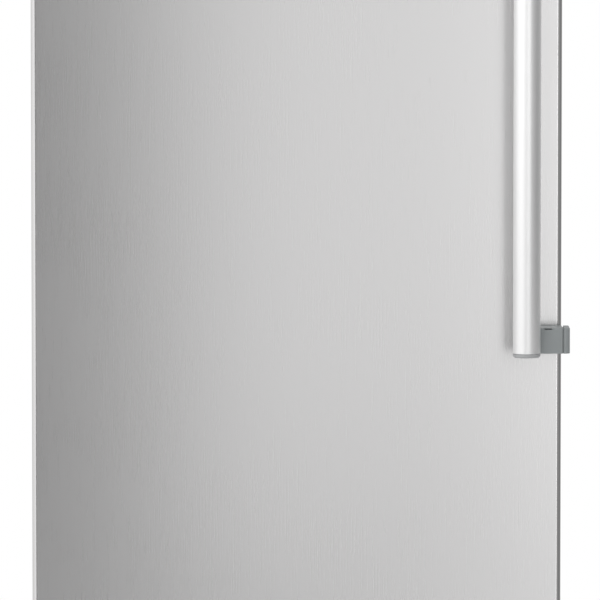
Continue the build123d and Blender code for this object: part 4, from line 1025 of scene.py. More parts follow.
# ---- Door -----------------------------------------------------------------------------
@dataclass
class Door:
    """The door leaf: its steel skin, end caps, moulded liner and seal."""

    edge_radius: float = 5.5 * MM
    edge_segments: int = 14
    sheet: float = 1 * MM
    hem: float = 12 * MM
    cap_round: float = 0.7 * MM
    liner_wall: float = 1.5 * MM
    liner_round: float = 0.9 * MM
    dish_side: float = 83 * MM
    dish_end: float = 106 * MM
    dish_radius: float = 22 * MM
    dish_draft: float = 5 * MM
    ribs: int = 4
    rib_height: float = 28 * MM
    rib_depth: float = 6 * MM
    seal_width: float = 18 * MM
    seal_round: float = 0.45 * MM
    # Each ring of the seal: start and end as shares of its thickness, and its side inset.
    seal_section: tuple[tuple[float, float, float], ...] = (
        (0.0, 0.17, 0.0), (0.1, 0.30, 3.8 * MM), (0.28, 0.42, 1.8 * MM), (0.40, 0.52, 3.8 * MM),
        (0.50, 0.64, 1.8 * MM), (0.62, 0.72, 3.8 * MM), (0.70, 1.0, 1.0 * MM))

    def build(self) -> None:
        """Build and dress the door's own pieces."""
        dress(self.skin(), Finishes.DOOR_STEEL, "door", "door_skin")
        dress(self.liner(), Finishes.LINER, "door", "door_liner")
        dress(self.seal(), Finishes.SEAL, "door", "door_gasket")
        for node in ("door_cap_top", "door_cap_bottom"):
            dress(self.cap(node), Finishes.CAP, "door", node)

    def skin(self) -> Object:
        """Wrap the front sheet, with its rolled edges and the hems behind.

        Returns:
            The sheet.
        """
        x, y, z = corners("door_skin")
        piece = block("door_skin_sheet", x, y, z)
        bevel_edges(piece, front_uprights(y[0]), self.edge_radius, self.edge_segments)
        with editing(piece):
            delete_faces(piece, lambda at, normal: abs(normal.z) > MOSTLY or normal.y > MOSTLY)
            fold_out(piece, x[0], y[1], self.hem)
            fold_out(piece, x[1], y[1], -self.hem)
        thicken(piece, self.sheet)
        return piece

    def cap(self, node: str) -> Object:
        """Mould the plastic cap at one end of the door, with the seat of its hinge bush.

        Args:
            node: the CAD node that it stands for.

        Returns:
            The cap.
        """
        x, y, z = corners(node)
        piece = block(f"{node}_moulding", x, y, z)
        bevel_edges(piece, front_uprights(y[0]), self.edge_radius, self.edge_segments)
        bush_x, bush_y, _ = corners("hinge_bushes")
        carve(piece, drum("bush_seat", middles(bush_x, bush_y, z), length(bush_x) / 2,
                          2 * length(z)))
        soften(piece, self.cap_round, 3)
        return piece

    def liner(self) -> Object:
        """Mould the inner panel: a dished centre with level ribs and soft corners.

        Returns:
            The panel.
        """
        x, y, z = corners("door_liner")
        wall = self.liner_wall
        dish_x, dish_z = grow(x, -self.dish_side), grow(z, -self.dish_end)
        face = y[1] - wall
        piece = block("door_liner_moulding", x, (face, y[1]), z)
        fuse(piece, block("pan", grow(dish_x, wall), (y[0], face + TINY), grow(dish_z, wall)))
        carve(piece, pad("hollow", dish_x, (y[0] + wall, y[1] + wall), dish_z,
                         self.dish_radius, 8))
        step = length(dish_z) / (self.ribs + 1)
        floor = y[0] + wall
        for index in range(self.ribs):
            rib = block("rib", grow(dish_x, -self.dish_draft),
                        (floor - wall / 2, floor + self.rib_depth),
                        around(dish_z[0] + (index + 1) * step, self.rib_height))
            bevel_edges(rib, lambda at, run: at.y > floor, self.dish_draft / 2, 4)
            fuse(piece, rib)
        soften(piece, self.liner_round, 3)
        return piece

    def seal(self) -> Object:
        """Stack the magnetic seal: its foot, two folds of bellows and the magnet's bulb.

        Returns:
            The seal.
        """
        x, y, z = corners("door_gasket")
        rings = []
        for start, end, inset in self.seal_section:
            level = (y[0] + start * length(y), y[0] + end * length(y))
            ring = block("door_seal_ring", grow(x, -inset), level, grow(z, -inset))
            inner = self.seal_width - inset
            carve(ring, block("inside", grow(x, -inner), grow(level, PAST), grow(z, -inner)))
            rings.append(ring)
        piece = rings[0]
        fuse(piece, *rings[1:])
        soften(piece, self.seal_round, 3)
        return piece


# ---- Handle ---------------------------------------------------------------------------
@dataclass
class Handle:
    """The bar, its end caps and the two levers that carry it."""

    tube_wall: float = 1.5 * MM
    tube_ease: float = 0.4 * MM
    rim_margin: float = 0.1 * MM
    tube_sides: int = 96
    cap_round: float = 2.2 * MM
    cap_gap: float = 0.35 * MM
    plug_fit: float = 0.1 * MM
    plug_middle: float = 2 * MM
    plug_length: float = 8 * MM
    lever_wall: float = 3 * MM
    lever_round: float = 0.3 * MM
    front_round: float = 6.2 * MM
    top_round: float = 1.6 * MM
    groove: float = 1.7 * MM
    groove_depth: float = 2.2 * MM
    cheek: float = 8.5 * MM
    cheek_back: float = 1.5 * MM
    edge_in: float = 0.5 * MM
    relief: float = 2 * MM
    slot_in: Range = (11.5 * MM, 20.5 * MM)
    slot_down: Range = (0.6 * MM, 1.8 * MM)
    slot_depth: float = 14 * MM
    boss_width: float = 18 * MM
    boss_proud: float = 6 * MM
    boss_end: float = 4 * MM
    saddle: float = 0.2 * MM
    hub_radius: float = 7 * MM
    hub_end: float = 6.4 * MM
    web_width: float = 10 * MM
    bore_radius: float = 3.05 * MM
    hub_sides: int = 48

    def build(self) -> None:
        """Build and dress the handle's pieces."""
        dress(self.bar(), Finishes.BAR_STEEL, "handle", "handle_bar")
        dress(self.end_caps(), Finishes.CAP, "handle", "handle_end_caps")
        lower = self.lever()
        upper = mirrored(lower, "upper_lever_moulding", middle(corners("handle_bar")[2]))
        smooth(upper)
        dress(lower, Finishes.LEVER, "handle", "handle_lever_lower")
        dress(upper, Finishes.LEVER, "handle", "handle_lever_upper")

    def bar(self) -> Object:
        """Cut the tube, with its ends eased.

        Returns:
            The tube.
        """
        x, y, z = corners("handle_bar")
        radius = length(x) / 2
        centre = middles(x, y, z)
        piece = drum("handle_tube", centre, radius, length(z), sides=self.tube_sides)
        carve(piece, drum("bore", centre, radius - self.tube_wall, 2 * length(z),
                          sides=self.tube_sides))

        def outer_rim(at: Vector, run: Vector) -> bool:
            """Tell whether an edge is on the outer rim of an end."""
            return (min(abs(at.z - z[0]), abs(at.z - z[1])) < TINY
                    and math.hypot(at.x - centre[0], at.y - centre[1]) > radius - self.rim_margin)

        bevel_edges(piece, outer_rim, self.tube_ease, 3)
        smooth(piece)
        return piece

    def end_caps(self) -> Object:
        """Mould the two rounded caps that close the tube.

        Returns:
            The caps.
        """
        x, y, z = corners("handle_end_caps")
        tube = corners("handle_bar")[2]
        radius, shown = length(x) / 2, tube[0] - z[0] - self.cap_gap
        at_x, at_y = middle(x), middle(y)
        piece = drum("lower_cap", (at_x, at_y, z[0] + shown / 2), radius, shown)
        bevel_edges(piece, bottom_rim(z[0]), self.cap_round)
        fuse(piece, drum("plug", (at_x, at_y, tube[0] + self.plug_middle),
                         radius - self.tube_wall - self.plug_fit, self.plug_length))
        smooth(piece)
        return gather("handle_tube_caps", [piece, mirrored(piece, "upper_cap", middle(tube))])

    def lever(self) -> Object:
        """Mould the lower lever: its front plate and cheek, grooved apart, hollow behind.

        The outside is rounded while it is one block, and the hollow is cut after that.

        Returns:
            The lever.
        """
        x, y, z = corners("handle_lever_lower")
        edge = x[1] - self.cheek
        front = lever_front()
        piece = block("lower_lever_moulding", x, (front, y[1]), z)
        carve(piece, block("behind_cheek", (edge - self.relief, x[1] + PAST),
                           (y[1] - self.cheek_back, y[1] + PAST), grow(z, PAST)))
        self.round_lever(piece, x[1], (front, y[1]), z[1])
        carve(piece,
              block("front_groove", (edge, edge + self.groove),
                    (front - PAST, front + self.groove_depth), grow(z, PAST)),
              block("top_groove", (edge, edge + self.groove), (front - PAST, y[1] + PAST),
                    (z[1] - self.groove, z[1] + PAST)),
              block("hollow", (x[0] + self.lever_wall, edge - self.edge_in),
                    (front + self.lever_wall, y[1] + PAST), grow(z, -self.lever_wall)))
        soften(piece, self.lever_round)
        self.add_bar_seat(piece, front, z)
        carve(piece, block("latch_slot", (edge - self.slot_in[1], edge - self.slot_in[0]),
                           (front - PAST, front + self.slot_depth),
                           (z[1] - self.slot_down[1], z[1] - self.slot_down[0])))
        self.add_hub(piece, front, z)
        smooth(piece)
        return piece

    def round_lever(self, piece: Object, side: float, depth: Range, top: float) -> None:
        """Round the outside of the lever's block.

        Args:
            piece: the block.
            side: the x of its free side.
            depth: its range from front to back.
            top: the z of its top.
        """
        front, back = depth
        on_top = top_rim(top)
        bevel_edges(piece, lambda at, run: along(run, UP) and at.x > side - TINY
                    and at.y < front + TINY, self.front_round)
        bevel_edges(piece, lambda at, run: on_top(at, run)
                    and (at.y < front + TINY or at.x > side - self.front_round)
                    and at.y < back - self.cheek_back - TINY, self.top_round, 5)

    def add_bar_seat(self, piece: Object, front: float, z: Range) -> None:
        """Add the boss behind the tube, with the tube's saddle in it.

        Args:
            piece: the lever.
            front: the y of its front face.
            z: its range upwards.
        """
        bar_x, bar_y, _ = corners("handle_bar")
        fuse(piece, block("boss", around(middle(bar_x), self.boss_width),
                          (front - self.boss_proud, front + PAST), grow(z, -self.boss_end)))
        carve(piece, drum("saddle", middles(bar_x, bar_y, z), length(bar_x) / 2 + self.saddle,
                          3 * length(z), sides=self.tube_sides))

    def add_hub(self, piece: Object, front: float, z: Range) -> None:
        """Add the hub on the pivot pin, with the web that joins it to the front plate.

        Args:
            piece: the lever.
            front: the y of its front face.
            z: its range upwards.
        """
        pin_x, pin_y, _ = corners("handle_pivot_pins")
        pin = middles(pin_x, pin_y, z)
        hub_z = grow(z, -self.lever_wall - self.hub_end)
        fuse(piece,
             drum("hub", pin, self.hub_radius, length(hub_z), sides=self.hub_sides),
             block("web", around(pin[0], self.web_width), (front + PAST, pin[1]), hub_z))
        carve(piece, drum("pin_bore", pin, self.bore_radius, length(hub_z) + PAST,
                          sides=self.hub_sides))


# ---- Figures and marks ----------------------------------------------------------------
@dataclass
class Marks:
    """The display's figures, the pilot lamps and the marks on the buttons."""

    proud: float = 0.06 * MM
    sunk: float = 0.02 * MM
    corner_share: float = 0.45
    digit_height: float = 11 * MM
    digit_width: float = 6 * MM
    digit_gap: float = 3.4 * MM
    stroke: float = 1.3 * MM
    pilot_rise: float = 4 * MM
    pilot_radius: float = 1.1 * MM
    pilot_depth: float = 0.5 * MM
    pilot_round: float = 0.15 * MM
    face_down: float = 0.24 * MM
    mark_down: float = 0.22 * MM
    mark_depth: float = 0.08 * MM
    line: float = 0.5 * MM
    ring_radius: float = 2.2 * MM
    ring_gap: float = 1.6 * MM
    bar_foot: float = 0.4 * MM
    arrow_radius: float = 1.5 * MM
    arrow_rise: float = 2 * MM
    star: float = 5.2 * MM

    def stroke_block(self, x: Range, z: Range, face: float) -> Object:
        """Add one thin stroke of a mark, with cut corners, just in front of a face's y."""
        return pad("stroke", x, (face - self.proud, face + self.sunk), z,
                   self.corner_share * min(length(x), length(z)), 1)

    def digits(self) -> Object:
        """Draw the display's figures, minus eighteen, as seven-segment strokes.

        Returns:
            The figures.
        """
        x, y, z = corners("display_window")
        left, low = middle(x) - 1.5 * self.digit_width, middle(z) - self.digit_height / 2
        half, wide, bar = self.digit_height / 2, self.digit_width, self.stroke
        rows = (low, low + half, low + 2 * half)
        pitch = wide + self.digit_gap
        eight = left + 1.5 * pitch

        def levels(column: float, chosen: Sequence[float]) -> list[Object]:
            """Add a figure's level strokes on some rows."""
            return [self.stroke_block((column + bar / 2, column + wide - bar / 2),
                                      around(row, bar), y[0]) for row in chosen]

        def uprights(column: float) -> list[Object]:
            """Add a figure's two upright strokes at one side."""
            return [self.stroke_block(around(column, bar), (row + bar / 2, row + half - bar / 2),
                                      y[0]) for row in rows[:2]]

        return gather("display_figures", [
            *levels(left - pitch / 2, rows[1:2]), *uprights(left + wide + pitch / 4),
            *levels(eight, rows), *uprights(eight), *uprights(eight + wide)])

    def pilots(self) -> Object:
        """Place the pilot lamps, one above each button.

        Returns:
            The lamps.
        """
        lamps = []
        face = corners("control_fascia")[1][0]
        for node in BUTTONS:
            x, _, z = corners(node)
            lamp = drum("lamp", (middle(x), face, z[1] + self.pilot_rise), self.pilot_radius,
                        self.pilot_depth, Axis.Y, 24)
            bevel_edges(lamp, lambda at, run: at.y < face and abs(run.y) < BARELY,
                        self.pilot_round, 2)
            lamps.append(lamp)
        piece = gather("pilot_lamps", lamps)
        smooth(piece)
        return piece

    def power_mark(self, centre: Point) -> Object:
        """Draw the power button's ring, open at the top, with its bar.

        Args:
            centre: the middle of the button's face.

        Returns:
            The mark.
        """
        at_x, face, at_z = centre
        ring = drum("power_mark", (at_x, face + self.mark_down, at_z), self.ring_radius,
                    self.mark_depth, Axis.Y, 40)
        carve(ring,
              drum("inner", (at_x, face, at_z), self.ring_radius - self.line, 2 * PAST, Axis.Y, 40),
              block("gap", around(at_x, self.ring_gap), around(face, 2 * PAST),
                    (at_z, at_z + 2 * self.ring_radius)))
        bar = self.stroke_block(around(at_x, self.line),
                                (at_z + self.bar_foot, at_z + self.ring_radius + self.line),
                                face + self.face_down)
        return gather("power_mark", [ring, bar])

    def arrow_marks(self, centre: Point) -> Object:
        """Draw the temperature button's two arrow heads.

        Args:
            centre: the middle of the button's face.

        Returns:
            The marks.
        """
        at_x, face, at_z = centre
        heads = [drum("arrow", (at_x, face + self.mark_down, at_z + rise), self.arrow_radius,
                      self.mark_depth, Axis.Y, 3) for rise in (-self.arrow_rise, self.arrow_rise)]
        lower = mirrored(heads[0], "arrow_turned", at_z - self.arrow_rise)
        bpy.data.objects.remove(heads[0])
        return gather("temperature_mark", [lower, heads[1]])

    def frost_mark(self, centre: Point) -> Object:
        """Draw the fast-freeze button's six-armed star.

        Args:
            centre: the middle of the button's face.

        Returns:
            The mark.
        """
        pivot = Vector(centre)
        arms = []
        for index in range(3):
            arm = self.stroke_block(around(pivot.x, self.line), around(pivot.z, self.star),
                                    pivot.y + self.face_down)
            with editing(arm):
                bpy.ops.mesh.select_all(action="SELECT")
                bpy.ops.transform.rotate(value=index * math.pi / 3, orient_axis="Y",
                                         center_override=pivot)
            arms.append(arm)
        return gather("fast_freeze_mark", arms)


# ---- Cabinet --------------------------------------------------------------------------
@dataclass
class Cabinet:
    """The painted wrap, and the control panel above the door with its marks."""

    sheet: float = 1 * MM
    flange: float = 15 * MM
    wrap_round: float = 3 * MM
    panel_round: float = 5 * MM
    panel_wall: float = 3 * MM
    panel_ease: float = 0.3 * MM
    notch_side: float = 2 * MM
    notch_front: float = 4 * MM
    window_rim: float = 4 * MM
    window_depth: float = 1.5 * MM
    window_fit: float = 0.1 * MM
    window_ease: float = 0.25 * MM
    key_gap: float = 0.3 * MM
    key_round: float = 3 * MM
    key_ease: float = 0.3 * MM
    key_back: float = 0.5 * MM
    key_rim: float = 0.7 * MM
    key_slope: float = 1.2 * MM
    key_dish: float = 0.25 * MM
    collar: float = 2 * MM
    collar_depth: float = 1.5 * MM
    stem_radius: float = 2.5 * MM

    def build(self) -> None:
        """Build and dress the cabinet's outer pieces."""
        dress(self.wrap(), Finishes.SILVER_PAINT, "cabinet", "cabinet_shell")
        dress(self.fascia(), Finishes.FASCIA, "cabinet", "control_fascia")
        dress(self.window(), Finishes.WINDOW, "cabinet", "display_window")
        marks = Marks()
        dress(marks.digits(), Finishes.DIGITS, "cabinet")
        dress(marks.pilots(), Finishes.PILOT, "cabinet")
        for node, mark in zip(BUTTONS, (marks.power_mark, marks.arrow_marks, marks.frost_mark)):
            dress(self.button(node), Finishes.BUTTON, node, node)
            x, y, z = corners(node)
            dress(mark((middle(x), y[0], middle(z))), Finishes.ICON, node)

    def wrap(self) -> Object:
        """Fold the sheet of the sides and the roof, with its front flange.

        Returns:
            The sheet.
        """
        x, y, z = corners("cabinet_shell")
        piece = block("cabinet_wrap", x, y, z)
        bevel_edges(piece, lambda at, run: to_the_back(at, run) and at.z > z[1] - TINY,
                    self.wrap_round)
        with editing(piece):
            pick_faces(piece, lambda at, normal: normal.y < -MOSTLY)
            bpy.ops.mesh.inset(thickness=self.flange, depth=0)
            bpy.ops.mesh.delete(type="FACE")
            delete_faces(piece, lambda at, normal: normal.z < -MOSTLY or normal.y > MOSTLY
                         or (normal.y < -MOSTLY and at.z < z[0] + self.flange))
        thicken(piece, self.sheet)
        return piece

    def fascia(self) -> Object:
        """Mould the hollow control panel, with the window's pocket and the keys' holes.

        Returns:
            The panel.
        """
        x, y, z = corners("control_fascia")
        bracket_x, bracket_y, _ = corners("top_hinge_bracket")
        through = (y[0] - PAST, y[0] + 2 * self.panel_wall)
        piece = block("control_panel_moulding", x, y, z)
        bevel_edges(piece, front_uprights(y[0]), self.panel_round, 12)
        carve(piece,
              block("hollow", grow(x, -self.panel_wall), (y[0] + self.panel_wall, y[1] + PAST),
                    grow(z, -self.panel_wall)),
              block("bracket_notch", (x[0] - PAST, bracket_x[1] + self.notch_side),
                    (bracket_y[1] - self.notch_front, y[1] + PAST),
                    (z[0] - PAST, z[0] + self.panel_wall + PAST)))
        pane_x, _, pane_z = corners("display_window")
        carve(piece,
              pad("pocket", grow(pane_x, self.window_fit), (y[0] - PAST, y[0] + self.window_depth),
                  grow(pane_z, self.window_fit), self.window_rim),
              block("opening", grow(pane_x, -self.window_rim), through,
                    grow(pane_z, -self.window_rim)))
        for node in BUTTONS:
            key_x, key_z = self.key(node)
            carve(piece, pad("hole", grow(key_x, self.key_gap), through,
                             grow(key_z, self.key_gap), self.key_round + self.key_gap))
        soften(piece, self.panel_ease)
        return piece

    def key(self, node: str) -> tuple[Range, Range]:
        """Return the ranges of a button's face along X and Z, inside its collar."""
        x, _, z = corners(node)
        return grow(x, -self.collar), grow(z, -self.collar)

    def button(self, node: str) -> Object:
        """Mould a button: a soft key with a dished face, its collar and its stem.

        Args:
            node: the CAD node that it stands for.

        Returns:
            The button.
        """
        x, y, z = corners(node)
        key_x, key_z = self.key(node)
        wall_back = corners("control_fascia")[1][0] + self.panel_wall + self.key_gap
        piece = pad(f"{node}_key", key_x, (y[0], wall_back + self.key_back), key_z,
                    self.key_round)
        with editing(piece):
            pick_faces(piece, lambda at, normal: normal.y < -MOSTLY)
            bpy.ops.mesh.inset(thickness=self.key_rim, depth=0)
            bpy.ops.mesh.inset(thickness=self.key_slope, depth=-self.key_dish)
        collar = pad("collar", x, (wall_back, wall_back + self.collar_depth), z,
                     self.key_round, 4)
        stem = drum("stem", (middle(x), (wall_back + y[1]) / 2, middle(z)), self.stem_radius,
                    y[1] - wall_back, Axis.Y, 24)
        fuse(piece, collar, stem)
        soften(piece, self.key_ease)
        return piece

    def window(self) -> Object:
        """Cut the glossy pane of the display.

        Returns:
            The pane.
        """
        piece = pad("display_pane", *corners("display_window"), self.window_rim, 8)
        soften(piece, self.window_ease)
        return piece


# ---- Inside ---------------------------------------------------------------------------
@dataclass
class Interior:
    """The drawers and the trims of the glass shelves."""

    drawers: int = 6
    wall: float = 2.5 * MM
    front_wall: float = 4 * MM
    corner: float = 8 * MM
    floor_round: float = 5 * MM
    lip_reach: float = 12 * MM
    lip_thickness: float = 3 * MM
    lip_drop: float = 16 * MM
    lip_side: float = 60 * MM
    ribs: int = 3
    rib: float = 1.2 * MM
    rib_height: float = 5 * MM
    rib_first: float = 0.18
    rib_pitch: float = 0.2
    drawer_ease: float = 0.7 * MM
    trim_depth: float = 4 * MM
    trim_height: float = 10 * MM
    trim_round: float = 1.6 * MM
    trim_ease: float = 0.4 * MM

    def build(self) -> None:
        """Build and dress the drawers and the shelf trims."""
        for number in range(1, self.drawers + 1):
            node = f"drawer_{number}"
            dress(self.drawer(node), Finishes.DRAWER, node, node)
        dress(self.trims(), Finishes.LINER, "cabinet")

    def drawer(self, node: str) -> Object:
        """Mould a drawer: a clear tub with level ribs on its front and a turned-down lip.

        Args:
            node: the CAD node that it stands for.

        Returns:
            The drawer.
        """
        x, y, z = corners(node)
        front = y[0] + self.lip_reach
        piece = block(f"{node}_tub", x, (front, y[1]), z)
        bevel_edges(piece, upright, self.corner, 8)
        hollow = block("hollow", grow(x, -self.wall), (front + self.front_wall, y[1] - self.wall),
                       (z[0] + self.wall, z[1] + 10 * PAST))
        bevel_edges(hollow, upright, self.corner - self.wall, 8)
        bevel_edges(hollow, bottom_rim(z[0] + self.wall), self.floor_round, 4)
        carve(piece, hollow)
        lip_x = grow(x, -self.lip_side)
        lip = block("lip", lip_x, (y[0], front + PAST), (z[1] - self.lip_thickness, z[1]))
        fuse(lip, block("edge", lip_x, (y[0], y[0] + self.lip_thickness),
                        (z[1] - self.lip_drop, z[1])))
        fuse(piece, lip)
        for index in range(self.ribs):
            rib_z = z[0] + (self.rib_first + self.rib_pitch * index) * length(z)
            fuse(piece, block("rib", grow(x, -self.lip_side / 2), (front - self.rib, front + PAST),
                              around(rib_z, self.rib_height)))
        soften(piece, self.drawer_ease)
        return piece

    def trims(self) -> Object:
        """Mould the white strip along the front of each glass shelf.

        Returns:
            The strips.
        """
        x, y, _ = corners("glass_shelves")
        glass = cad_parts["glass_shelves"].data.vertices
        levels = sorted({round(vertex.co.z, 5) for vertex in glass})
        front = y[0] - self.trim_depth
        strips = []
        for top in levels[1::2]:
            strip = block("strip", x, (front, y[0]), (top - self.trim_height, top))
            bevel_edges(strip, lambda at, run: abs(run.x) > MOSTLY and at.y < front + TINY,
                        self.trim_round, 4)
            strips.append(strip)
        piece = gather("shelf_trims", strips)
        soften(piece, self.trim_ease)
        return piece


# ---- Back -----------------------------------------------------------------------------
@dataclass
class Back:
    """The niche's lining, the condenser and the compressor."""

    niche_side: float = 21 * MM
    niche_depth: float = 214 * MM
    lining: float = 0.5 * MM
    pipe_room: float = 1 * MM
    hole_depth: float = 4 * MM
    tube: float = 2.5 * MM
    runs: int = 15
    run_length: float = 440 * MM
    run_bend: float = 30 * MM
    bend_fit: float = 0.01 * MM
    lowest_run: float = 45 * MM
    wire_end: float = 8 * MM
    wire: float = 0.8 * MM
    wires: int = 25
    wire_in: float = 33 * MM
    wire_overlap: float = 0.3 * MM
    seam_height: float = 78 * MM
    seam_width: float = 6 * MM
    seam_out: float = 3.9 * MM
    pot_in: float = 4 * MM
    pot_sides: int = 96
    dome: float = 34 * MM
    pot_foot: float = 14 * MM
    pot_ease: float = 1.4 * MM
    plate: float = 2.5 * MM
    plate_corner: float = 12 * MM
    plate_ease: float = 0.4 * MM
    bolt_in: float = 11 * MM
    bolt_radius: float = 7 * MM

    def build(self) -> None:
        """Build and dress the pieces behind the cabinet."""
        dress(self.niche_lining(), Finishes.REAR_PAINT, "cabinet")
        dress(self.condenser(), Finishes.BLACK_PAINT, "cabinet", "condenser")
        dress(self.compressor(), Finishes.BLACK_PAINT, "cabinet", "compressor")

    def niche_lining(self) -> Object:
        """Fold the painted sheet that lines the compressor's niche, with a flange at each side.

        Returns:
            The sheet.
        """
        foam_x, foam_y, foam_z = corners("cabinet_insulation")
        ceiling = corners("rear_panel")[2][0]
        x, back = grow(foam_x, -self.niche_side), foam_y[1]
        piece = block("niche_lining_sheet", x, (back - self.niche_depth, back),
                      (foam_z[0], ceiling))
        with editing(piece):
            delete_faces(piece, lambda at, normal: normal.y > MOSTLY or normal.z < -MOSTLY)
            fold_out(piece, x[0], back, -self.niche_side)
            fold_out(piece, x[1], back, self.niche_side)
        run_modifier(piece, "SOLIDIFY", thickness=self.lining, offset=-1)
        suction_x, suction_y, _ = corners("suction_pipe")
        drier_x, drier_y, _ = corners("filter_drier")
        pipe_radius = length(suction_x) / 2
        carve(piece,
              drum("suction_hole", (middle(suction_x), suction_y[0] + pipe_radius, ceiling),
                   pipe_radius + self.pipe_room, self.hole_depth, sides=HOLE_SIDES),
              drum("capillary_hole", (middle(drier_x), drier_y[0] + self.pipe_room, ceiling),
                   3 * self.pipe_room, self.hole_depth, sides=HOLE_SIDES))
        smooth(piece)
        return piece

    def condenser(self) -> Object:
        """Bend the condenser's long tube, between two layers of fine wires.

        Returns:
            The condenser.
        """
        x, y, z = corners("condenser")
        drier_x, _, drier_z = corners("filter_drier")
        right = x[1] - self.run_bend - self.tube
        left = right - self.run_length
        low, top = z[0] + self.lowest_run, z[1] - self.wire_end
        pitch = (top - low) / (self.runs - 1)
        depth, tail = middle(y), middle(drier_x)
        points = [(tail, depth, drier_z[1]), (tail, depth, low), (left, depth, low)]
        for run in range(self.runs - 1):
            side = right + self.run_bend if run % 2 == 0 else left - self.run_bend
            points += [(side, depth, low + run * pitch), (side, depth, low + (run + 1) * pitch)]
        points.append((right, depth, top))
        pieces = [pipe("condenser_coil", points, self.tube, pitch / 2 - self.bend_fit)]
        span = right - left - 2 * self.wire_in
        for index in range(self.wires):
            at_x = left + self.wire_in + index * span / (self.wires - 1)
            for side in (-1, 1):
                at_y = depth + side * (self.tube + self.wire - self.wire_overlap)
                wire = drum("wire", (at_x, at_y, middle((low, top))), self.wire,
                            z[1] - low + self.wire_end, sides=8)
                smooth(wire)
                pieces.append(wire)
        return gather("condenser_grid", pieces)

    def compressor(self) -> Object:
        """Press the compressor: a pot in two halves with a rolled seam, on its plate.

        Returns:
            The compressor.
        """
        x, y, z = corners("compressor")
        foot = z[0] + self.plate
        half_x, half_y = length(x) / 2 - self.pot_in, length(y) / 2 - self.pot_in
        piece = drum("compressor_pot", (middle(x), middle(y), (foot + z[1]) / 2), half_y,
                     z[1] - foot, sides=self.pot_sides)
        piece.scale.x = half_x / half_y
        piece.location.x = middle(x) * (1 - half_x / half_y)
        settle(piece, "compressor_pot")
        bevel_edges(piece, top_rim(z[1]), self.dome, 12)
        bevel_edges(piece, bottom_rim(foot), self.pot_foot)
        seam = (foot + self.seam_height, foot + self.seam_height + self.seam_width)
        with editing(piece):
            for height in seam:
                bpy.ops.mesh.select_all(action="SELECT")
                bpy.ops.mesh.bisect(plane_co=(0, 0, height), plane_no=(0, 0, 1))
            pick_faces(piece, lambda at, normal: seam[0] < at.z < seam[1])
            bpy.ops.mesh.extrude_region_shrink_fatten(
                TRANSFORM_OT_shrink_fatten={"value": self.seam_out})
        soften(piece, self.pot_ease, 3, 50)
        return gather("compressor_body", [piece, self.foot_plate((z[0], foot))])

    def foot_plate(self, z: Range) -> Object:
        """Cut the compressor's foot plate, with the holes for its rubber mounts.

        Args:
            z: its range upwards.

        Returns:
            The plate.
        """
        x, y, _ = corners("compressor_mounts")
        piece = block("compressor_plate", x, y, z)
        bevel_edges(piece, upright, self.plate_corner, 8)
        for hole_x in grow(x, -self.bolt_in):
            for hole_y in grow(y, -self.bolt_in):
                carve(piece, drum("bolt_hole", (hole_x, hole_y, z[0]), self.bolt_radius,
                                  10 * PAST, sides=HOLE_SIDES))
        soften(piece, self.plate_ease)
        return piece


# ---- CAD nodes that keep their shape ----------------------------------------------------
KEPT_NODES = {
    Finishes.REAR_PAINT: ("rear_panel",),
    Finishes.FOAM: ("cabinet_insulation", "door_insulation"),
    Finishes.LINER: ("inner_liner", "evaporator_cover"),
    Finishes.ZINC: ("base_frame", "top_hinge_bracket", "bottom_hinge_bracket", "hinge_pins",
                    "cabinet_screws", "roller_axles", "handle_pivot_pins", "handle_screws",
                    "defrost_heater"),
    Finishes.PLINTH: ("plinth_grille",),
    Finishes.BOARD: ("control_board",),
    Finishes.GLASS: ("glass_shelves",),
    Finishes.ALUMINIUM: ("evaporator",),
    Finishes.BLACK_PLASTIC: ("fan_motor", "evaporation_tray", "start_relay", "condenser_brackets",
                             "mains_inlet", "fan_rotor", "front_foot_left", "front_foot_right",
                             "rear_roller_left", "rear_roller_right", "hinge_bushes"),
    Finishes.RUBBER: ("compressor_mounts",),
    Finishes.COPPER: ("filter_drier", "discharge_pipe", "suction_pipe"),
    Finishes.LAMP: ("led_lamp",),
    Finishes.LEVER: ("handle_base_lower", "handle_base_upper", "handle_pushers"),
}


def dress_kept_nodes() -> None:
    """Give the CAD nodes that keep their shape their finishes."""
    for finish, names in KEPT_NODES.items():
        for name in names:
            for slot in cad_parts[name].material_slots:
                slot.material = finish.material()
            log.info("%s keeps its shape, in %s", name, finish.name)


# ---- Studio ---------------------------------------------------------------------------
@dataclass(frozen=True)
class Lamp:
    """A rectangular soft light; its radiance is 1 where it looks white."""

    name: str
    place: Point
    aim: Point
    size: tuple[float, float]
    radiance: float

    def build(self) -> None:
        """Add the light, which the camera doesn't see."""
        data = bpy.data.lights.new(self.name, "AREA")
        data.shape = "RECTANGLE"
        data.size, data.size_y = self.size
        data.energy = self.radiance * self.size[0] * self.size[1] * math.pi
        place = Vector(self.place)
        stand(self.name, data, place, Vector(self.aim) - place).visible_camera = False


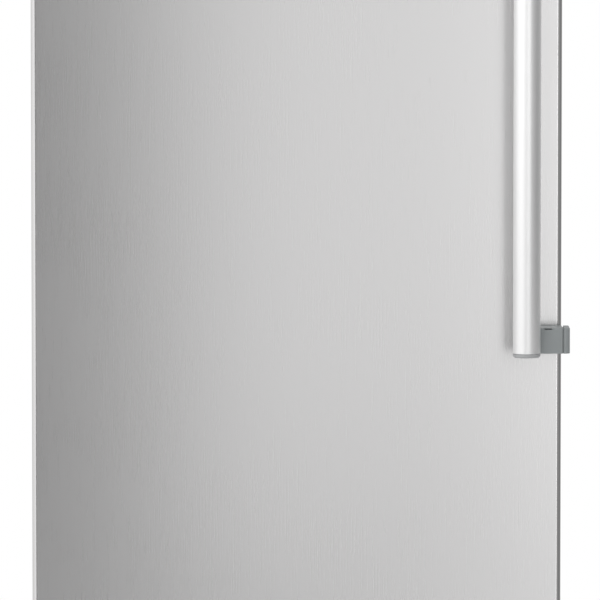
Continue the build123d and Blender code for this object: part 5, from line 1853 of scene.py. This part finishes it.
@dataclass
class Studio:
    """Camera, lamps, world and floor."""

    # Where the photograph has the door's edges and the lever's foot, in pixels.
    photo_size: float = 600.0
    door_left: float = 31.35
    door_right: float = 561.4
    lever_foot: float = 353.5
    distance: float = 8.0
    elevation: float = math.radians(5.0)
    sensor: float = 36.0
    # The lights near the door brighten it from left to right.
    lamps: tuple[Lamp, ...] = (
        Lamp("near_light", (-0.1, -2.1, 1.03), (0, -0.29, 0.98), (0.35, 1.7), 0.6),
        Lamp("middle_light", (0.2, -3.3, 1.03), (0.06, -0.29, 0.98), (0.35, 1.7), 0.35),
        Lamp("right_light", (0.8, -3.3, 0.83), (0.24, -0.29, 0.88), (0.35, 1.3), 0.8))
    ambient: float = 0.92
    ambient_above: float = 0.55
    ambient_left: float = 0.45
    # Walls of light in reflections: azimuth from the camera in degrees, and level.
    walls: tuple[tuple[float, float], ...] = (
        (-180, 0.9), (-140, 0.9), (-107, 1.0), (-85, 1.1), (-67, 1.1), (-52, 1.15), (-38, 1.25),
        (-27, 1.3), (-17, 0.5), (-10, 0.0), (-2, 0.0), (3, 0.6), (9.5, 1.85), (17.5, 1.35),
        (27, 0.45), (38, 0.3), (52, 0.42), (67, 0.32), (85, 0.26), (107, 0.28), (135, 0.5),
        (180, 0.5))
    brightest: float = 2.0
    low_level: float = 0.7
    high_level: float = 1.17
    level_rise: Range = (-0.5, 0.2)
    ceiling_level: float = 0.7
    ceiling_rise: Range = (0.5, 0.8)
    floor_radius: float = 7.0
    floor_sides: int = 128
    floor_drop: float = 0.2 * MM

    def build(self) -> None:
        """Set up everything around the freezer."""
        self.camera()
        self.world()
        for lamp in self.lamps:
            lamp.build()
        self.floor()
        bpy.context.scene.view_settings.view_transform = "Standard"

    def camera(self) -> None:
        """Place the camera so that the door's edges and the lever's foot fall on their pixels."""
        x, y, _ = corners("door_skin")
        pixel = length(x) / (self.door_right - self.door_left)
        target_x = x[0] + (self.photo_size / 2 - self.door_left) * pixel
        lever_low = corners("handle_lever_lower")[2][0]
        rise = ((self.photo_size / 2 - self.lever_foot) * pixel
                + (y[0] - lever_front()) * math.sin(self.elevation))
        target = Vector((target_x, y[0], lever_low - rise / math.cos(self.elevation)))
        back = Vector((0, -math.cos(self.elevation), math.sin(self.elevation)))
        data = bpy.data.cameras.new("camera")
        data.sensor_width = self.sensor
        data.lens = self.sensor * self.distance / (self.photo_size * pixel)
        data.clip_end = 100.0
        bpy.context.scene.camera = stand("camera", data, target + back * self.distance, -back)
        log.info("camera looks at %s", tuple(round(place, 4) for place in target))

    def world(self) -> None:
        """Light from all round; white to the camera, with soft walls of light in reflections."""
        world = bpy.data.worlds.new("studio")
        bpy.context.scene.world = world
        world.use_nodes = True
        nodes = Nodes(world.node_tree)
        direction = nodes.node("ShaderNodeTexCoord", output="Generated")
        across, depth, height = (nodes.part(direction, axis) for axis in "XYZ")
        ambient = height * self.ambient_above + self.ambient - across * self.ambient_left
        studio = self.studio_level(nodes, across, depth, height)
        shown, *others = (
            nodes.node("ShaderNodeBackground", {}, {"Color": (1, 1, 1, 1), "Strength": level})
            for level in (ambient, studio, 1.0, 1.0))
        rays = ("Is Glossy Ray", "Is Transmission Ray", "Is Camera Ray")
        for strength, ray in zip(others, rays):
            is_ray = nodes.node("ShaderNodeLightPath", output=ray)
            shown = nodes.node("ShaderNodeMixShader", {}, {0: is_ray, 1: shown, 2: strength})
        nodes.node("ShaderNodeOutputWorld", {}, {"Surface": shown})

    def studio_level(self, nodes: Nodes, across: Value, depth: Value, height: Value) -> Value:
        """Add the light that glossy surfaces reflect.

        Args:
            nodes: the world's tree.
            across: the direction's part along X.
            depth: its part along Y.
            height: its part along Z.

        Returns:
            The strength of the light from that direction.
        """
        turn = nodes.node("ShaderNodeMath", {"operation": "ARCTAN2"}, {0: across, 1: 0.0 - depth})
        stops = [(azimuth / 360 + 0.5, (level / self.brightest,) * 3)
                 for azimuth, level in self.walls]
        ramp = nodes.node("ShaderNodeValToRGB", {"stops": stops}, {0: turn * (0.5 / math.pi) + 0.5})
        walls = ramp * self.brightest
        ceiling = height.steps(*self.ceiling_rise)
        upwards = height.steps(*self.level_rise, self.low_level, self.high_level)
        return walls * upwards * (1 - ceiling) + ceiling * self.ceiling_level

    def floor(self) -> None:
        """Lay a pale floor that fades into the white background and keeps the shadow."""
        clear_selection()
        bpy.ops.mesh.primitive_circle_add(vertices=self.floor_sides, radius=self.floor_radius,
                                          fill_type="NGON", location=(0, 0, -self.floor_drop))
        piece = settle(bpy.context.object, "studio_floor")
        piece.data.materials.append(Finishes.FLOOR.material())


def main() -> None:
    """Build the freezer's looks."""
    Studio().build()
    Door().build()
    Handle().build()
    Cabinet().build()
    Interior().build()
    Back().build()
    dress_kept_nodes()


if __name__ == "__main__":
    main()
